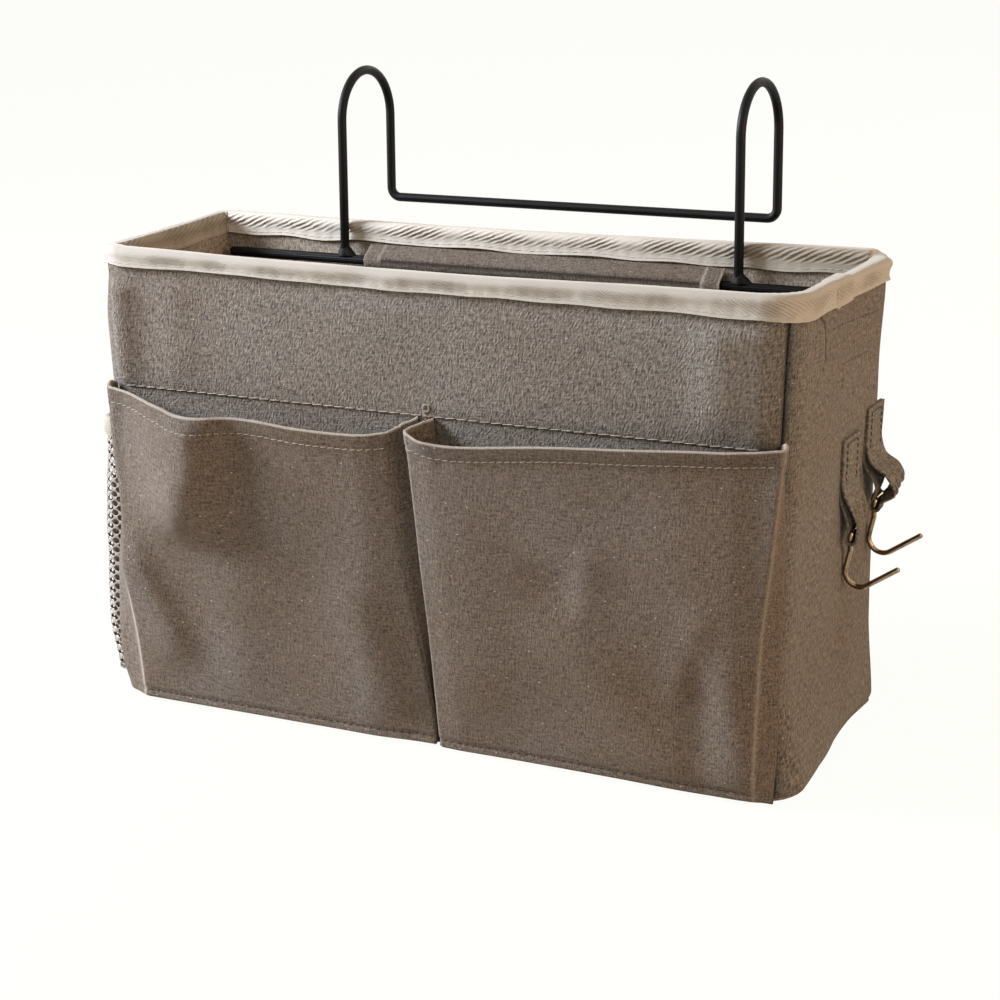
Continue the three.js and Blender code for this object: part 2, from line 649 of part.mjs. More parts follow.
function buildHanger() {
  // Seat: a frame on the inner face of the back lining, Z up along the wall, Y out of the bag
  const seat = new THREE.Group();
  seat.position.set(HANGER_CENTRE_X, halfDepth(BAR_HEIGHT) - INNER_INSET, BAR_HEIGHT);
  seat.rotation.x = BACK_TILT;
  caddy.add(seat);

  const barSeat = new THREE.Vector2(-BAR_OFF_LINING, 0);
  const radius = WIRE / 2;
  const hanger = new THREE.Group();
  hanger.position.set(0, barSeat.x, barSeat.y);
  hanger.rotation.x = -BACK_TILT - degToRad(HANGER_LEAN);
  seat.add(hanger);
  const bar = cylinderAlongX(radius, BAR_LENGTH, WIRE_SIDES + 2).translate(BAR_SHIFT_X, 0, 0);
  addPiece('hanger_base_bar', bar, blackWire, hanger);

  // Frame: up, over and down on each side, joined by the crossbar
  const left = -ARCH_SPACING / 2;
  const right = ARCH_SPACING / 2;
  const corners = [
    [left, 0, 0], [left, 0, ARCH_TOP], [left, ARCH_GAP, ARCH_TOP], [left, ARCH_GAP, CROSSBAR_RISE],
    [right, ARCH_GAP, CROSSBAR_RISE], [right, ARCH_GAP, ARCH_TOP], [right, 0, ARCH_TOP], [right, 0, 0],
  ].map(([x, y, z]) => new THREE.Vector3(x, y, z));
  const arch = ARCH_GAP / 2;
  const radii = [arch, arch, CROSSBAR_CORNER_RADIUS, CROSSBAR_CORNER_RADIUS, arch, arch];
  const frame = roundWire(roundedPath(corners, radii, BEND_STEPS), WIRE, WIRE_SIDES);
  const barRoom = solid(cylinderAlongX(radius + GAP, BAR_LENGTH, WIRE_SIDES + 2));
  addPiece('hanger_hook_frame', geometryOf(solid(frame).subtract(barRoom)), blackWire, hanger);

  // Weld beads: a cone round each foot of the frame, cut to the bar and the leg
  const legRoom = radius + GAP;
  for (const [name, x] of [['left', left], ['right', right]]) {
    const crown = legRoom + WELD_CROWN;
    const cone = new THREE.CylinderGeometry(crown, legRoom + WELD_FOOT, WELD_HEIGHT, WELD_SIDES);
    const leg = new THREE.CylinderGeometry(legRoom, legRoom, 2 * WELD_HEIGHT + WIRE, WELD_SIDES);
    const bead = solid(cone.rotateX(Math.PI / 2).translate(x, 0, radius + WELD_HEIGHT / 2 - GAP))
      .subtract(solid(leg.rotateX(Math.PI / 2).translate(x, 0, radius + WELD_HEIGHT)))
      .subtract(barRoom);
    addPiece(`hanger_weld_${name}`, geometryOf(bead), blackWire, hanger);
  }

  // Flap: from a seam under the binding's inner leaf, round the bar and down over the fastening tapes
  const flapTop = (BAG_HEIGHT - TAPE_LEAF - FLAP_TOP_CLEARANCE - BAR_HEIGHT) / Math.cos(BACK_TILT);
  const wrap = radius + FLAP_BAR_CLEARANCE + FLAP / 2;
  const seam = new THREE.Vector2(-GAP - TAPE, flapTop);
  const stack = 3 * GAP + 2 * FASTENER + FLAP / 2;
  const below = new THREE.Vector2(-stack, -wrap - FASTENER_MARGIN);
  const upper = tangentPoint(seam, barSeat, wrap, 1);
  const lower = tangentPoint(below, barSeat, wrap, -1);
  const end = new THREE.Vector2(-stack, flapTop - FLAP_LENGTH);
  const line = [seam, ...arcBetween(upper, lower, barSeat, wrap, 1), below, end];
  const outline = [...offsetLine(line, FLAP / 2), ...offsetLine(line, -FLAP / 2).reverse()];
  const width = ARCH_SPACING - 2 * FLAP_LEG_CLEARANCE;
  const flap = extrude(new THREE.Shape(outline), width);
  flap.rotateY(Math.PI / 2).rotateX(Math.PI / 2).translate(-width / 2, 0, 0);
  addPiece('hanger_flap', flap, canvasMaterial, seat);

  // Fastening tapes: loops on the lining, hooks on the flap
  const tapeWidth = width - 2 * FASTENER_MARGIN;
  const tapeMiddle = end.y + FASTENER_MARGIN + FASTENER_HEIGHT / 2;
  const tape = (y) => new THREE.BoxGeometry(tapeWidth, FASTENER, FASTENER_HEIGHT).translate(0, y, tapeMiddle);
  addPiece('fastener_loops', tape(-GAP - FASTENER / 2), fastenerMaterial, seat);
  addPiece('fastener_hooks', tape(-2 * GAP - 1.5 * FASTENER), fastenerMaterial, seat);
}

// A strap and its hook, in a frame on the right wall: X out of the wall, Z up along it
function buildHookStrap(name, y, top) {
  const mount = new THREE.Group();
  mount.position.set(halfWidth(top), y, top);
  mount.rotation.y = SIDE_TILT;
  caddy.add(mount);

  const wireRadius = HOOK_WIRE / 2;
  const inner = wireRadius + HOOK_CLEARANCE;
  const outer = inner + STRAP;
  const back = GAP;
  const front = GAP + 2 * STRAP;
  const pivot = new THREE.Vector2(STRAP_STAND_OFF, -STRAP_PATCH - STRAP_DROP);

  // Side profile: a doubled patch that opens into a loop round the hook
  const frontFoot = new THREE.Vector2(front, -STRAP_PATCH);
  const backFoot = new THREE.Vector2(back, -STRAP_PATCH);
  const outerStart = tangentPoint(frontFoot, pivot, outer, -1);
  const outerEnd = tangentPoint(backFoot, pivot, outer, 1);
  const profile = new THREE.Shape([
    new THREE.Vector2(back, 0),
    backFoot,
    ...arcBetween(outerEnd, outerStart, pivot, outer, 1),
    frontFoot,
    new THREE.Vector2(front, 0),
  ]);
  const fork = new THREE.Vector2((back + front) / 2, -STRAP_PATCH - STRAP);
  const innerStart = tangentPoint(fork, pivot, inner, -1);
  const innerEnd = tangentPoint(fork, pivot, inner, 1);
  profile.holes.push(new THREE.Path([fork, ...arcBetween(innerEnd, innerStart, pivot, inner, 1)]));
  const alongY = extrude(profile, STRAP_WIDTH).rotateX(Math.PI / 2).translate(0, STRAP_WIDTH / 2, 0);

  // Front outline: full width at the patch, gathered at the loop
  const gather = new THREE.Shape([
    [-STRAP_WIDTH / 2, STRAP], [-STRAP_WIDTH / 2, -STRAP_PATCH],
    [-STRAP_LOOP_WIDTH / 2, pivot.y + outer], [-STRAP_LOOP_WIDTH / 2, pivot.y - 2 * outer],
    [STRAP_LOOP_WIDTH / 2, pivot.y - 2 * outer], [STRAP_LOOP_WIDTH / 2, pivot.y + outer],
    [STRAP_WIDTH / 2, -STRAP_PATCH], [STRAP_WIDTH / 2, STRAP],
  ].map(([across, z]) => new THREE.Vector2(across, z)));
  const reach = STRAP_STAND_OFF + 2 * outer;
  const outline = extrude(gather, reach).rotateY(Math.PI / 2).rotateX(Math.PI / 2);
  const strap = solid(alongY).intersect(solid(outline));
  addPiece(`${name}_hook_strap`, geometryOf(strap), canvasMaterial, mount);

  // Hook: prong, bend, shank and a closed eye, bent from one wire
  const hook = new THREE.Group();
  hook.position.set(pivot.x, 0, pivot.y);
  hook.rotation.y = degToRad(HOOK_LEAN) - SIDE_TILT;
  mount.add(hook);
  const rise = degToRad(PRONG_RISE);
  const bendRun = HOOK_BEND_RADIUS * Math.tan((Math.PI / 2 + rise) / 2);
  const turnZ = -EYE_HEIGHT - SHANK_LENGTH - bendRun;
  const prong = bendRun + PRONG_LENGTH;
  const corners = [
    [prong * Math.cos(rise), 0, turnZ + prong * Math.sin(rise)],
    [0, 0, turnZ],
    [0, 0, -EYE_HEIGHT],
    [0, -EYE_WIDTH / 2, 0],
    [0, EYE_WIDTH / 2, 0],
    [0, HOOK_WIRE + GAP, HOOK_WIRE - EYE_HEIGHT],
  ].map(([x, across, z]) => new THREE.Vector3(x, across, z));
  const radii = [HOOK_BEND_RADIUS, HOOK_WIRE, EYE_CORNER_RADIUS, EYE_CORNER_RADIUS];
  const path = roundedPath(corners, radii, BEND_STEPS);
  addPiece(`${name}_hook`, roundWire(path, HOOK_WIRE, HOOK_SIDES), bronzeWire, hook);
}

buildShell();
buildRimBinding();
addPiece('front_pocket_left', pocket(-1), canvasMaterial);
addPiece('front_pocket_right', pocket(1), canvasMaterial);
buildNetPocket();
buildHanger();
buildHookStrap('front', FRONT_STRAP_Y, FRONT_STRAP_TOP);
buildHookStrap('rear', REAR_STRAP_Y, REAR_STRAP_TOP);

export default caddy;
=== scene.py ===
"""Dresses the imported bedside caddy: cloth walls, pockets, net, tape, wire, hooks and stitching."""

import math

import bpy
import numpy as np
from bpy.props import FloatProperty, FloatVectorProperty, PointerProperty
from mathutils import Matrix, Vector


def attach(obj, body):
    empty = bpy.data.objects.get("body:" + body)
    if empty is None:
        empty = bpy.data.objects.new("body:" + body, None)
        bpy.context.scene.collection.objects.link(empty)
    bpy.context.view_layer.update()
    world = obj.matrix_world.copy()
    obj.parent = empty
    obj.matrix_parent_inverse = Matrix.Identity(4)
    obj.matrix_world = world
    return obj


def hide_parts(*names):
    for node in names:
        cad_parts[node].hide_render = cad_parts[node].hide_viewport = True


bl_info = {
    "name": "Bedside caddy",
    "version": (1, 0, 0),
    "blender": (4, 5, 0),
    "location": "3D View > Sidebar > Caddy",
    "description": "Builds the cloth, net, wire and stitching of a hanging bedside caddy",
    "category": "Object",
}

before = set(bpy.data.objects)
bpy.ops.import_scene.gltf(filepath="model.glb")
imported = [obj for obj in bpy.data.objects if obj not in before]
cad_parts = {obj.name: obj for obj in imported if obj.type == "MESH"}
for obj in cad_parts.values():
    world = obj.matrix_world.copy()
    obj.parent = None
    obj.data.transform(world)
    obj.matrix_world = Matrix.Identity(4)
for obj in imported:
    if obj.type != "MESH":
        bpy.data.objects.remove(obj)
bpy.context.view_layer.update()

# Sizes are worked out in millimetres and written to the meshes in metres
MM = 0.001

# Bag: the same plan as the solids
BAG_HEIGHT = 197.0
RIM_WIDTH, RIM_DEPTH = 320.0, 100.0
BASE_WIDTH, BASE_DEPTH = 304.0, 118.0
FRONT_CORNER, BACK_CORNER = 16.0, 6.0
WALL_FOOT, CLOTH_TOP = 1.2, 194.2
WALL_COLUMNS = {"front": 190, "right": 240, "back": 90, "left": 90}
WALL_TRIM, LINING_TRIM = 0.012, 0.02
LINING_FACE, LINING_FOOT, LINING_FLOOR = 3.6, 4.5, 4.25
FLOOR_MARGIN, FLOOR_CORNER_TRIM = 3.4, 2.8
REAR_SEAM = 138.6

# Rim tape: faces of its leaves off the wall, roundness of its edge, depth of the inner leaf, its overlap, and
# where it starts and ends on the right wall
TAPE_OUTSIDE, TAPE_INSIDE = 1.15, -LINING_FACE - 1.15
TAPE_SHOULDER, INNER_LEAF = 1.9, 9.6
TAPE_LAP, LAP_STEP = 16.0, 0.95
TAPE_START, TAPE_END = -12.0, 2.0

# Front pockets
POCKET_FACE = 65.0
POCKET_FOOT, POCKET_FOOT_RISE, POCKET_FOOT_DEPTH = 0.5, 1.8, 1.6
POCKET_MOUTH, MOUTH_TURN = 134.0, 0.95
DIVIDER_FOOT, DIVIDER_MOUTH = 8.0, -3.0
PLEAT_WIDTH, PLEAT_LEAN, PLEAT_FOOT_LEAN = 9.0, 3.4, 0.5
PLEAT_OVERLAP, PLEAT_OPEN_HEIGHT = 4.6, 90.0
FOOT_STITCH, HEM_STITCH = 5.0, 1.4
# Pocket seams: distance off the front wall and off the corners; roundness of the folds; rough width of a face
POCKET_SEAT_GAP, POCKET_SEAM_OFF, POCKET_ROUNDING, POCKET_RUN = 0.75, 1.2, 2.6, 140
HEM_LEAN = {-1: 0.9, 1: 2.6}

# Net pocket: its height, the plane of its face, the run of net along front, face and rear, and its tape
NET_FOOT, NET_MOUTH, NET_SHADOW_SHEET_TOP = 6.0, 120.0, 92.0
NET_PLANE_X = -165.87
NET_SLOPE, NET_REAR_MARGIN = 5.0, 14.0
NET_START = math.radians(65)
NET_RUNS = (10.5, 76.0, 10.5)
NET_TAPE_LEAF, NET_TAPE_FACE, NET_TAPE_SHOULDER = 7.4, 1.35, 0.9
NET_WALL_GAP, NET_ROUNDING, NET_INSET, NET_SHARE = 0.3, 4.5, 0.03, 0.94
NET_RIPPLE_RUN = 90

# Hanger
HANGER_AXIS = Vector((4.5, 41.782, 179.754))
HANGER_LEAN = math.radians(-3)
ARCH_SPACING, ARCH_GAP, ARCH_TOP = 189.0, 42.5, 82.0
CROSSBAR_RISE, CROSSBAR_CORNER = 23.0, 4.5
BAR_LENGTH, BAR_SHIFT = 304.0, -3.5
WELD_FOOT_RADIUS, WELD_TOP_RADIUS, WELD_HEIGHT, WELD_RISE = 3.4, 2.2, 4.6, 1.5

# Flap, in the tilted frame of the back lining
SEAT = Vector((4.5, 47.177, 180.0))
BACK_TILT = math.atan2(BASE_DEPTH - RIM_DEPTH, 2 * BAG_HEIGHT)
BAR_OFF_LINING = 5.4
FLAP_TOP, FLAP_LENGTH, FLAP_WIDTH = 6.2, 38.0, ARCH_SPACING - 14
FLAP_LEFT_TRIM, FLAP_HEM = 5.0, 8.0
FLAP_STAND_OFF, FLAP_STACK = 1.2, 3.3
FASTENER_HEIGHT, FASTENER_MARGIN, FASTENER_THICKNESS = 18.0, 3.0, 0.9

# Hook straps on the right wall: name, place along the wall, height of the top edge and bow of the loop
STRAPS = (("front", 12.0, 130.0, 1.2), ("rear", 40.0, 136.0, 7.0))
SIDE_TILT = math.atan2(RIM_WIDTH - BASE_WIDTH, 2 * BAG_HEIGHT)
STRAP_PATCH, STRAP_DROP, STRAP_STAND_OFF = 23.0, 16.0, 5.5
STRAP_HALF_WIDTH, STRAP_GATHER = 9.2, 4.0
STRAP_HIDDEN_LAYER, STRAP_FRONT_LAYER, STRAP_LOOP_GAP = 0.95, 2.05, 0.95
HOOK_LEAN, PRONG_RISE = math.radians(14), math.radians(47)
EYE_WIDTH, EYE_HEIGHT, EYE_CORNER = 13.0, 9.0, 1.6
HOOK_SHANK, HOOK_BEND, HOOK_PRONG = 8.0, 6.0, 16.0

# Sewing with its own stitches: pitch, length and thickness
REAR_SEAM_SEWING, STRAP_SEWING, PATCH_SEWING = (5.2, 5.0, 0.5), (2.8, 2.1, 0.5), (3.2, 2.2, 0.45)


def linear(hex_colour):
    """Linear RGBA of an sRGB hex colour."""
    levels = [int(hex_colour[i:i + 2], 16) / 255 for i in (1, 3, 5)]
    return (*[v / 12.92 if v <= 0.04045 else ((v + 0.055) / 1.055) ** 2.4 for v in levels], 1.0)


def length_property(name, millimetres, description):
    return FloatProperty(name=name, description=description, default=millimetres * MM,
                         min=0.0, unit="LENGTH", precision=5)


def colour_property(name, hex_colour, description):
    return FloatVectorProperty(name=name, description=description, default=linear(hex_colour),
                               size=4, min=0.0, max=1.0, subtype="COLOR")


class CaddySizes(bpy.types.PropertyGroup):
    """Sizes that a maker would change without new solids."""

    canvas: length_property("Canvas", 0.9, "Thickness of the outer cloth")
    lining: length_property("Lining", 0.65, "Thickness of the lining cloth")
    tape: length_property("Tape", 0.85, "Thickness of the binding tape")
    hem: length_property("Pocket hem", 8.0, "Depth of the turned hem at a pocket mouth")
    net_cell: length_property("Net cell", 4.2, "Width and height of one diamond of the net")
    net_strand: length_property("Net strand", 0.44, "Thickness of the net's strands")
    stitch_pitch: length_property("Stitch pitch", 3.4, "Distance from stitch to stitch")
    stitch_length: length_property("Stitch length", 3.1, "Length of one visible stitch")
    thread: length_property("Thread", 0.45, "Thickness of the sewing thread")
    wire: length_property("Hanger wire", 4.0, "Diameter of the hanger wire")
    hook_wire: length_property("Hook wire", 2.2, "Diameter of the hook wire")
    fold_depth: FloatProperty(name="Fold depth", description="Strength of the folds in the pockets",
                              default=1.0, min=0.0, max=1.5, subtype="FACTOR")


class CaddyColours(bpy.types.PropertyGroup):
    """Colours of the cloth, tape, thread and metal."""

    canvas: colour_property("Canvas", "#7b756d", "Outer cloth of the walls")
    canvas_warm: colour_property("Canvas, warm", "#766c62", "Browner areas of the outer cloth")
    pocket: colour_property("Pocket canvas", "#6c6259", "Cloth of the front pockets")
    pocket_warm: colour_property("Pocket canvas, warm", "#67594b", "Browner areas of the pockets")
    lining: colour_property("Lining", "#a99d8e", "Inner cloth")
    tape: colour_property("Tape", "#b6b0a6", "Outer leaf of the binding tape")
    # Painted highlight: the tape's inner leaf is painted lighter for the light it catches
    tape_inner_painted_light: colour_property("Tape, inside", "#d6cfc3", "Inner leaf of the tape, painted lighter")
    # Painted shade in the valleys between the tape's ribs
    tape_shade: colour_property("Tape, between ribs", "#8f8473", "Valleys between the tape's ribs")
    net: colour_property("Net", "#8c837a", "Net of the side pocket")
    thread: colour_property("Thread", "#aca293", "Sewing thread")
    dark_thread: colour_property("Dark thread", "#3a3029", "Sewing thread of straps and pocket feet")
    black: colour_property("Black coat", "#070606", "Powder coat of the hanger")
    hook: colour_property("Hook metal", "#8f7a60", "Plating of the hooks")
    # Painted shadow: dark cloth behind the net stands in for the shade inside the empty pocket
    painted_shadow_sheet: colour_property("Net painted shadow", "#43342d", "Cloth behind the net")
    # Painted highlight on folded cloth edges
    light_and_tone: colour_property("Painted edge highlight", "#a89e92", "Painted highlight on folded edges of the cloth")
    fastener: colour_property("Fastening tape", "#6f665d", "Hook and loop tape")
    board: colour_property("Board", "#9a9288", "Grey board in the walls")


# Lines and curves


def step(value):
    """Smooth step from 0 to 1."""
    t = np.clip(value, 0, 1)
    return t * t * (3 - 2 * t)


def bell(value, width):
    """Smooth hump, 1 at 0, which fades over the width."""
    return np.exp(-(value / width) ** 2)


def window(value, low, high, fade, high_fade=None):
    """Smooth plateau of 1 from low to high, which fades inside both ends."""
    return step((value - low) / fade) * step((high - value) / (high_fade or fade))


def to_edge(share):
    return np.minimum(share, 1 - share)


def unit(vectors):
    return vectors / np.maximum(np.linalg.norm(vectors, axis=-1, keepdims=True), 1e-9)


def travelled(line):
    """Distance along a line of points, at each point."""
    return np.concatenate([[0], np.cumsum(np.linalg.norm(np.diff(line, axis=0), axis=1))])


def pick(values):
    """A function from 0..1 to a list of values, one for each column or row of a grid."""
    values = np.asarray(values, float)
    return lambda share: values[np.rint(share * (len(values) - 1)).astype(int)]


def smooth_line(at, knots):
    """Cubic curve through (place, value) knots."""
    place, value = np.array(knots, float).T
    slope = np.gradient(value, place)
    i = np.clip(np.searchsorted(place, at) - 1, 0, len(place) - 2)
    span = place[i + 1] - place[i]
    t = (at - place[i]) / span
    ends = value[i] * (1 + 2 * t) * (1 - t) ** 2 + value[i + 1] * t * t * (3 - 2 * t)
    return ends + span * (slope[i] * t * (1 - t) ** 2 - slope[i + 1] * t * t * (1 - t))


def rounded_line(corners, position, reach):
    """Points on a polyline with rounded corners; position 1.5 is halfway along its second side."""
    corners = np.stack([np.broadcast_to(c, (len(position), 2)) for c in corners])
    rows = np.arange(len(position))
    side = np.clip(np.floor(position).astype(int), 0, len(corners) - 2)
    start, end = corners[side, rows], corners[side + 1, rows]
    line = start + (end - start) * (position - side)[:, None]
    for k in range(1, len(corners) - 1):
        before, after = corners[k] - corners[k - 1], corners[k + 1] - corners[k]
        length_before = np.linalg.norm(before, axis=1)
        length_after = np.linalg.norm(after, axis=1)
        room = np.minimum(reach, 0.45 * np.minimum(length_before, length_after))
        travel = (position - k) * np.where(position < k, length_before, length_after)
        near = (np.abs(travel) < room) & (np.abs(position - k) < 1)
        t = ((travel + room) / (2 * room))[:, None]
        first = corners[k] - before / length_before[:, None] * room[:, None]
        last = corners[k] + after / length_after[:, None] * room[:, None]
        bend = (1 - t) ** 2 * first + 2 * t * (1 - t) * corners[k] + t * t * last
        line = np.where(near[:, None], bend, line)
    return line


def rounded_plan(corners, position, reach, ahead):
    """Points of a plan of three sides with rounded corners, and its outward normals."""
    line, before, after = (rounded_line(corners, np.clip(position + shift, 0, 3), reach)
                           for shift in (0, -ahead, ahead))
    run = unit(after - before)
    return line, np.stack([run[:, 1], -run[:, 0]], -1)


def plan_normals(points):
    """Level normals of a line of points, on its right as it runs."""
    ahead = np.gradient(points, axis=0)
    return unit(np.stack([ahead[:, 1], -ahead[:, 0], 0 * ahead[:, 0]], -1))


def fold(along, z, start, end, width, height, right_width=None):
    """Relief of one soft fold drawn from its lower to its upper end; negative heights make valleys."""
    run = np.subtract(end, start)
    length = np.hypot(*run)
    across = ((along - start[0]) * run[1] - (z - start[1]) * run[0]) / length
    travel = ((along - start[0]) * run[0] + (z - start[1]) * run[1]) / length ** 2
    spread = np.where(across > 0, right_width or width, width)
    return height * bell(across, spread) * window(travel, -0.35, 1.35, 0.5)


def folds(along, z, drawn):
    return sum(fold(along, z, *one) for one in drawn)


def ripple(along, z, wavelength, seed):
    """Soft unevenness of about -1 to 1, always the same for one seed."""
    random = np.random.default_rng(seed)
    total = 0.0
    for _ in range(8):
        heading, phase = random.uniform(0, 2 * math.pi, 2)
        wave = 2 * math.pi / (wavelength * random.uniform(0.7, 1.5))
        total = total + np.sin(wave * (along * math.cos(heading) + z * math.sin(heading)) + phase)
    return total / 4


# Plan of the bag

CORNER_SIGNS = np.array([[1, -1], [1, 1], [-1, 1], [-1, -1]])
CORNER_RADII = np.array([FRONT_CORNER, BACK_CORNER, BACK_CORNER, FRONT_CORNER])
# Stations of the seams at both ends of each wall, and the seed of its unevenness
WALLS = {"front": (-0.5, 1.5), "right": (1.5, 3.5), "back": (3.5, 5.5), "left": (5.5, 7.5)}
WALL_SEEDS = {"front": 5, "right": 5, "back": 4, "left": 4}


def half_width(z):
    return (BASE_WIDTH + (RIM_WIDTH - BASE_WIDTH) * z / BAG_HEIGHT) / 2


def half_depth(z):
    return (BASE_DEPTH + (RIM_DEPTH - BASE_DEPTH) * z / BAG_HEIGHT) / 2


def shell(station, z, out=0.0):
    """Points on the wall. Station 0 to 1 is the front, 1 to 2 its right corner, then on round the bag."""
    station, z, out = np.broadcast_arrays(np.asarray(station, float), z, out)
    part = np.floor(station).astype(int) % 8
    share = station - np.floor(station)
    wall, turning = part // 2, part % 2 == 1
    angle = np.radians(-90 + 90 * (wall + np.where(turning, share, 0)))
    normal = np.stack([np.cos(angle), np.sin(angle)], -1)
    half = np.stack([half_width(z), half_depth(z)], -1)

    def corner_edge(corner):
        radius = CORNER_RADII[corner % 4]
        return CORNER_SIGNS[corner % 4] * (half - radius[..., None]) + (radius + out)[..., None] * normal

    start, end = corner_edge(wall - 1), corner_edge(wall)
    flat = start + (end - start) * share[..., None]
    plan = np.where(turning[..., None], end, flat)
    return np.concatenate([plan, z[..., None]], -1)


def even_stations(start, end):
    """A function from 0..1 to stations that lie evenly along the wall, and the length between them."""
    fine = np.linspace(start, end, 4000)
    travel = travelled(shell(fine, BAG_HEIGHT / 2))
    return lambda share: np.interp(share * travel[-1], travel, fine), travel[-1]


def right_station(y, z):
    """Station of a place on the flat of the right wall."""
    return 2 + (y + half_depth(z) - FRONT_CORNER) / (2 * half_depth(z) - FRONT_CORNER - BACK_CORNER)


def along_wall(wall, points):
    return points[..., 0] if wall in ("front", "back") else points[..., 1]


def round_corners(x, y, half_x, half_y, tighter=0.0):
    """Draws the points of a rectangle in to the bag's rounded corners."""
    radius = np.where(y < 0, FRONT_CORNER, BACK_CORNER) - tighter
    in_x = np.maximum(np.abs(x) - half_x + radius, 0)
    in_y = np.maximum(np.abs(y) - half_y + radius, 0)
    pull = np.maximum(in_x, in_y) / np.maximum(np.hypot(in_x, in_y), 1e-9)
    corner = (in_x > 0) & (in_y > 0)
    round_x = np.where(corner, np.sign(x) * (half_x - radius + in_x * pull), x)
    round_y = np.where(corner, np.sign(y) * (half_y - radius + in_y * pull), y)
    return round_x, round_y


# Surfaces of the walls and the base

# Folds of the walls: lower end, upper end, width, height and, where it differs, the width on the right
WALL_FOLDS = {
    "front": [
        ((-146, 146), (-146, 190), 7, 2.4),
        ((-117, 150), (-120, 190), 10, 1.4),
        ((129, 150), (130, 190), 10, 3.4, 13),
        ((-30, 150), (-24, 186), 26, 0.7),
        ((62, 148), (70, 184), 24, 0.8),
    ],
    "right": [
        ((-27, 160), (-28, 186), 4.5, 1.3),
        ((-12, 20), (-16, 150), 16, 1.3),
        ((24, 6), (22, 60), 12, 1.0),
    ],
    "left": [
        ((-38, 112), (-38, 172), 11, 3.2),
        ((10, 120), (14, 180), 16, 1.4),
    ],
    "back": [
        ((-90, 20), (-80, 170), 30, 1.2),
        ((70, 30), (96, 160), 34, 1.4),
    ],
}
# Unevenness of the walls: its mean, its swing and the length of its waves
WALL_SLACK, WALL_SWING, WALL_WAVE = 0.45, 0.4, 70
# The foot of a wall turns under: how far and how high
FOOT_TURN, FOOT_TURN_HEIGHT = 1.3, 2.2
SEAM_TUCK, SEAM_WIDTH, SEAM_FADE = 1.35, 1.5, 9
HEM_STEP = 0.45
# A patch sewn inside the right wall shows as a faint step: its ends along the wall, its heights
PATCH_ENDS, PATCH_HEIGHTS, PATCH_STEP = (0, 30), (149, 161), 0.5
# Crease below the rim of the right wall: height and place along the wall
CREASE = [(160, -26.5), (164.8, -25.1), (169, -22.3), (175, -22), (180, -22.7), (186, -25.7), (192, -28)]
CREASE_DEPTH = 1.6
# The rear edge of the right wall bows in: depth, height and reach up and down
REAR_BOW, REAR_BOW_HEIGHT, REAR_BOW_REACH = 2.2, 92, 52
# The foot of the bag swells on the right, most beside the front corner: station and swell
FOOT_SWELL = [(0.9, 0), (1.05, 0.6), (1.25, 4), (1.5, 9.2), (1.65, 10.4), (1.8, 10.4),
              (2.0, 9.6), (2.15, 8.2), (2.4, 5.2), (2.6, 2.8), (2.76, 1.8), (3.0, 2.4), (3.3, 2.0),
              (3.6, 0.8), (3.9, 0)]
FOOT_SWELL_HEIGHT = 42.0
# Flare of the rim: how far, at which station, its reach along the wall, its foot and the height of its rise
RIM_FLARE, RIM_FLARE_STATION, RIM_FLARE_REACH = 2.0, 2.95, 0.35
RIM_FLARE_FOOT, RIM_FLARE_RISE = 150, 45


def crease_offset(along, z):
    line = smooth_line(np.clip(z, CREASE[0][0], CREASE[-1][0]), CREASE)
    return along - line - 0.4 * np.sin(z * 0.9) - 0.3 * np.sin(z * 2.1)


def foot_swell(station, z):
    station = np.clip(np.mod(station, 8), FOOT_SWELL[0][0], FOOT_SWELL[-1][0])
    return smooth_line(station, FOOT_SWELL) * step(1 - z / FOOT_SWELL_HEIGHT)


def rim_flare(station):
    """The rim stands out a little where the tape was pulled round the back corner on the right."""
    return RIM_FLARE * bell(np.mod(station, 8) - RIM_FLARE_STATION, RIM_FLARE_REACH)


def wall_face(wall, station, z, out=0.0):
    """The soft outer face of a wall: the solid's face, with folds, tucked seams and a rounded foot."""
    base = shell(station, z)
    along = along_wall(wall, base)
    relief = folds(along, z, WALL_FOLDS[wall]) + WALL_SLACK
    relief = relief + WALL_SWING * ripple(along, z, WALL_WAVE, WALL_SEEDS[wall])
    relief = np.maximum(relief, 0.0)
    for seam in WALLS[wall]:
        off = np.linalg.norm(base - shell(seam, z), axis=-1)
        relief = relief * step(off / SEAM_FADE) - SEAM_TUCK * bell(off, SEAM_WIDTH)
    if wall == "front":
        relief = relief * (0.25 + 0.75 * step((z - REAR_SEAM) / 4)) + HEM_STEP * step((z - REAR_SEAM) / 0.9)
    if wall == "right":
        relief = relief + PATCH_STEP * window(along, *PATCH_ENDS, 2) * window(z, *PATCH_HEIGHTS, 3, 1.5)
        relief = relief - CREASE_DEPTH * bell(crease_offset(along, z), 0.8) * window(z, 162, 190, 6, 5)
        relief = relief - REAR_BOW * step((station - 2.93) / 0.3) * bell(z - REAR_BOW_HEIGHT, REAR_BOW_REACH)
    relief = relief * window(z, 0.4, 189, 4, 9)
    relief = relief - FOOT_TURN * bell(z - WALL_FOOT, FOOT_TURN_HEIGHT)
    relief = relief + rim_flare(station) * step((z - RIM_FLARE_FOOT) / RIM_FLARE_RISE)
    return shell(station, z, relief + foot_swell(station, z) + out)


def wall_painted_shade(wall, station, z):
    """Painted shade, from 0 to -1: dark lines along the seams and in the right wall's crease."""
    base = shell(station, z)
    dark = np.zeros_like(z)
    for seam in WALLS[wall]:
        off = np.linalg.norm(base - shell(seam, z), axis=-1)
        dark = np.maximum(dark, np.maximum(bell(off, 1.2), 0.3 * bell(off, 5)))
    if wall == "right":
        dark = np.maximum(dark, bell(crease_offset(base[:, 1], z), 1.1) * window(z, 163, 189, 3))
    return -dark


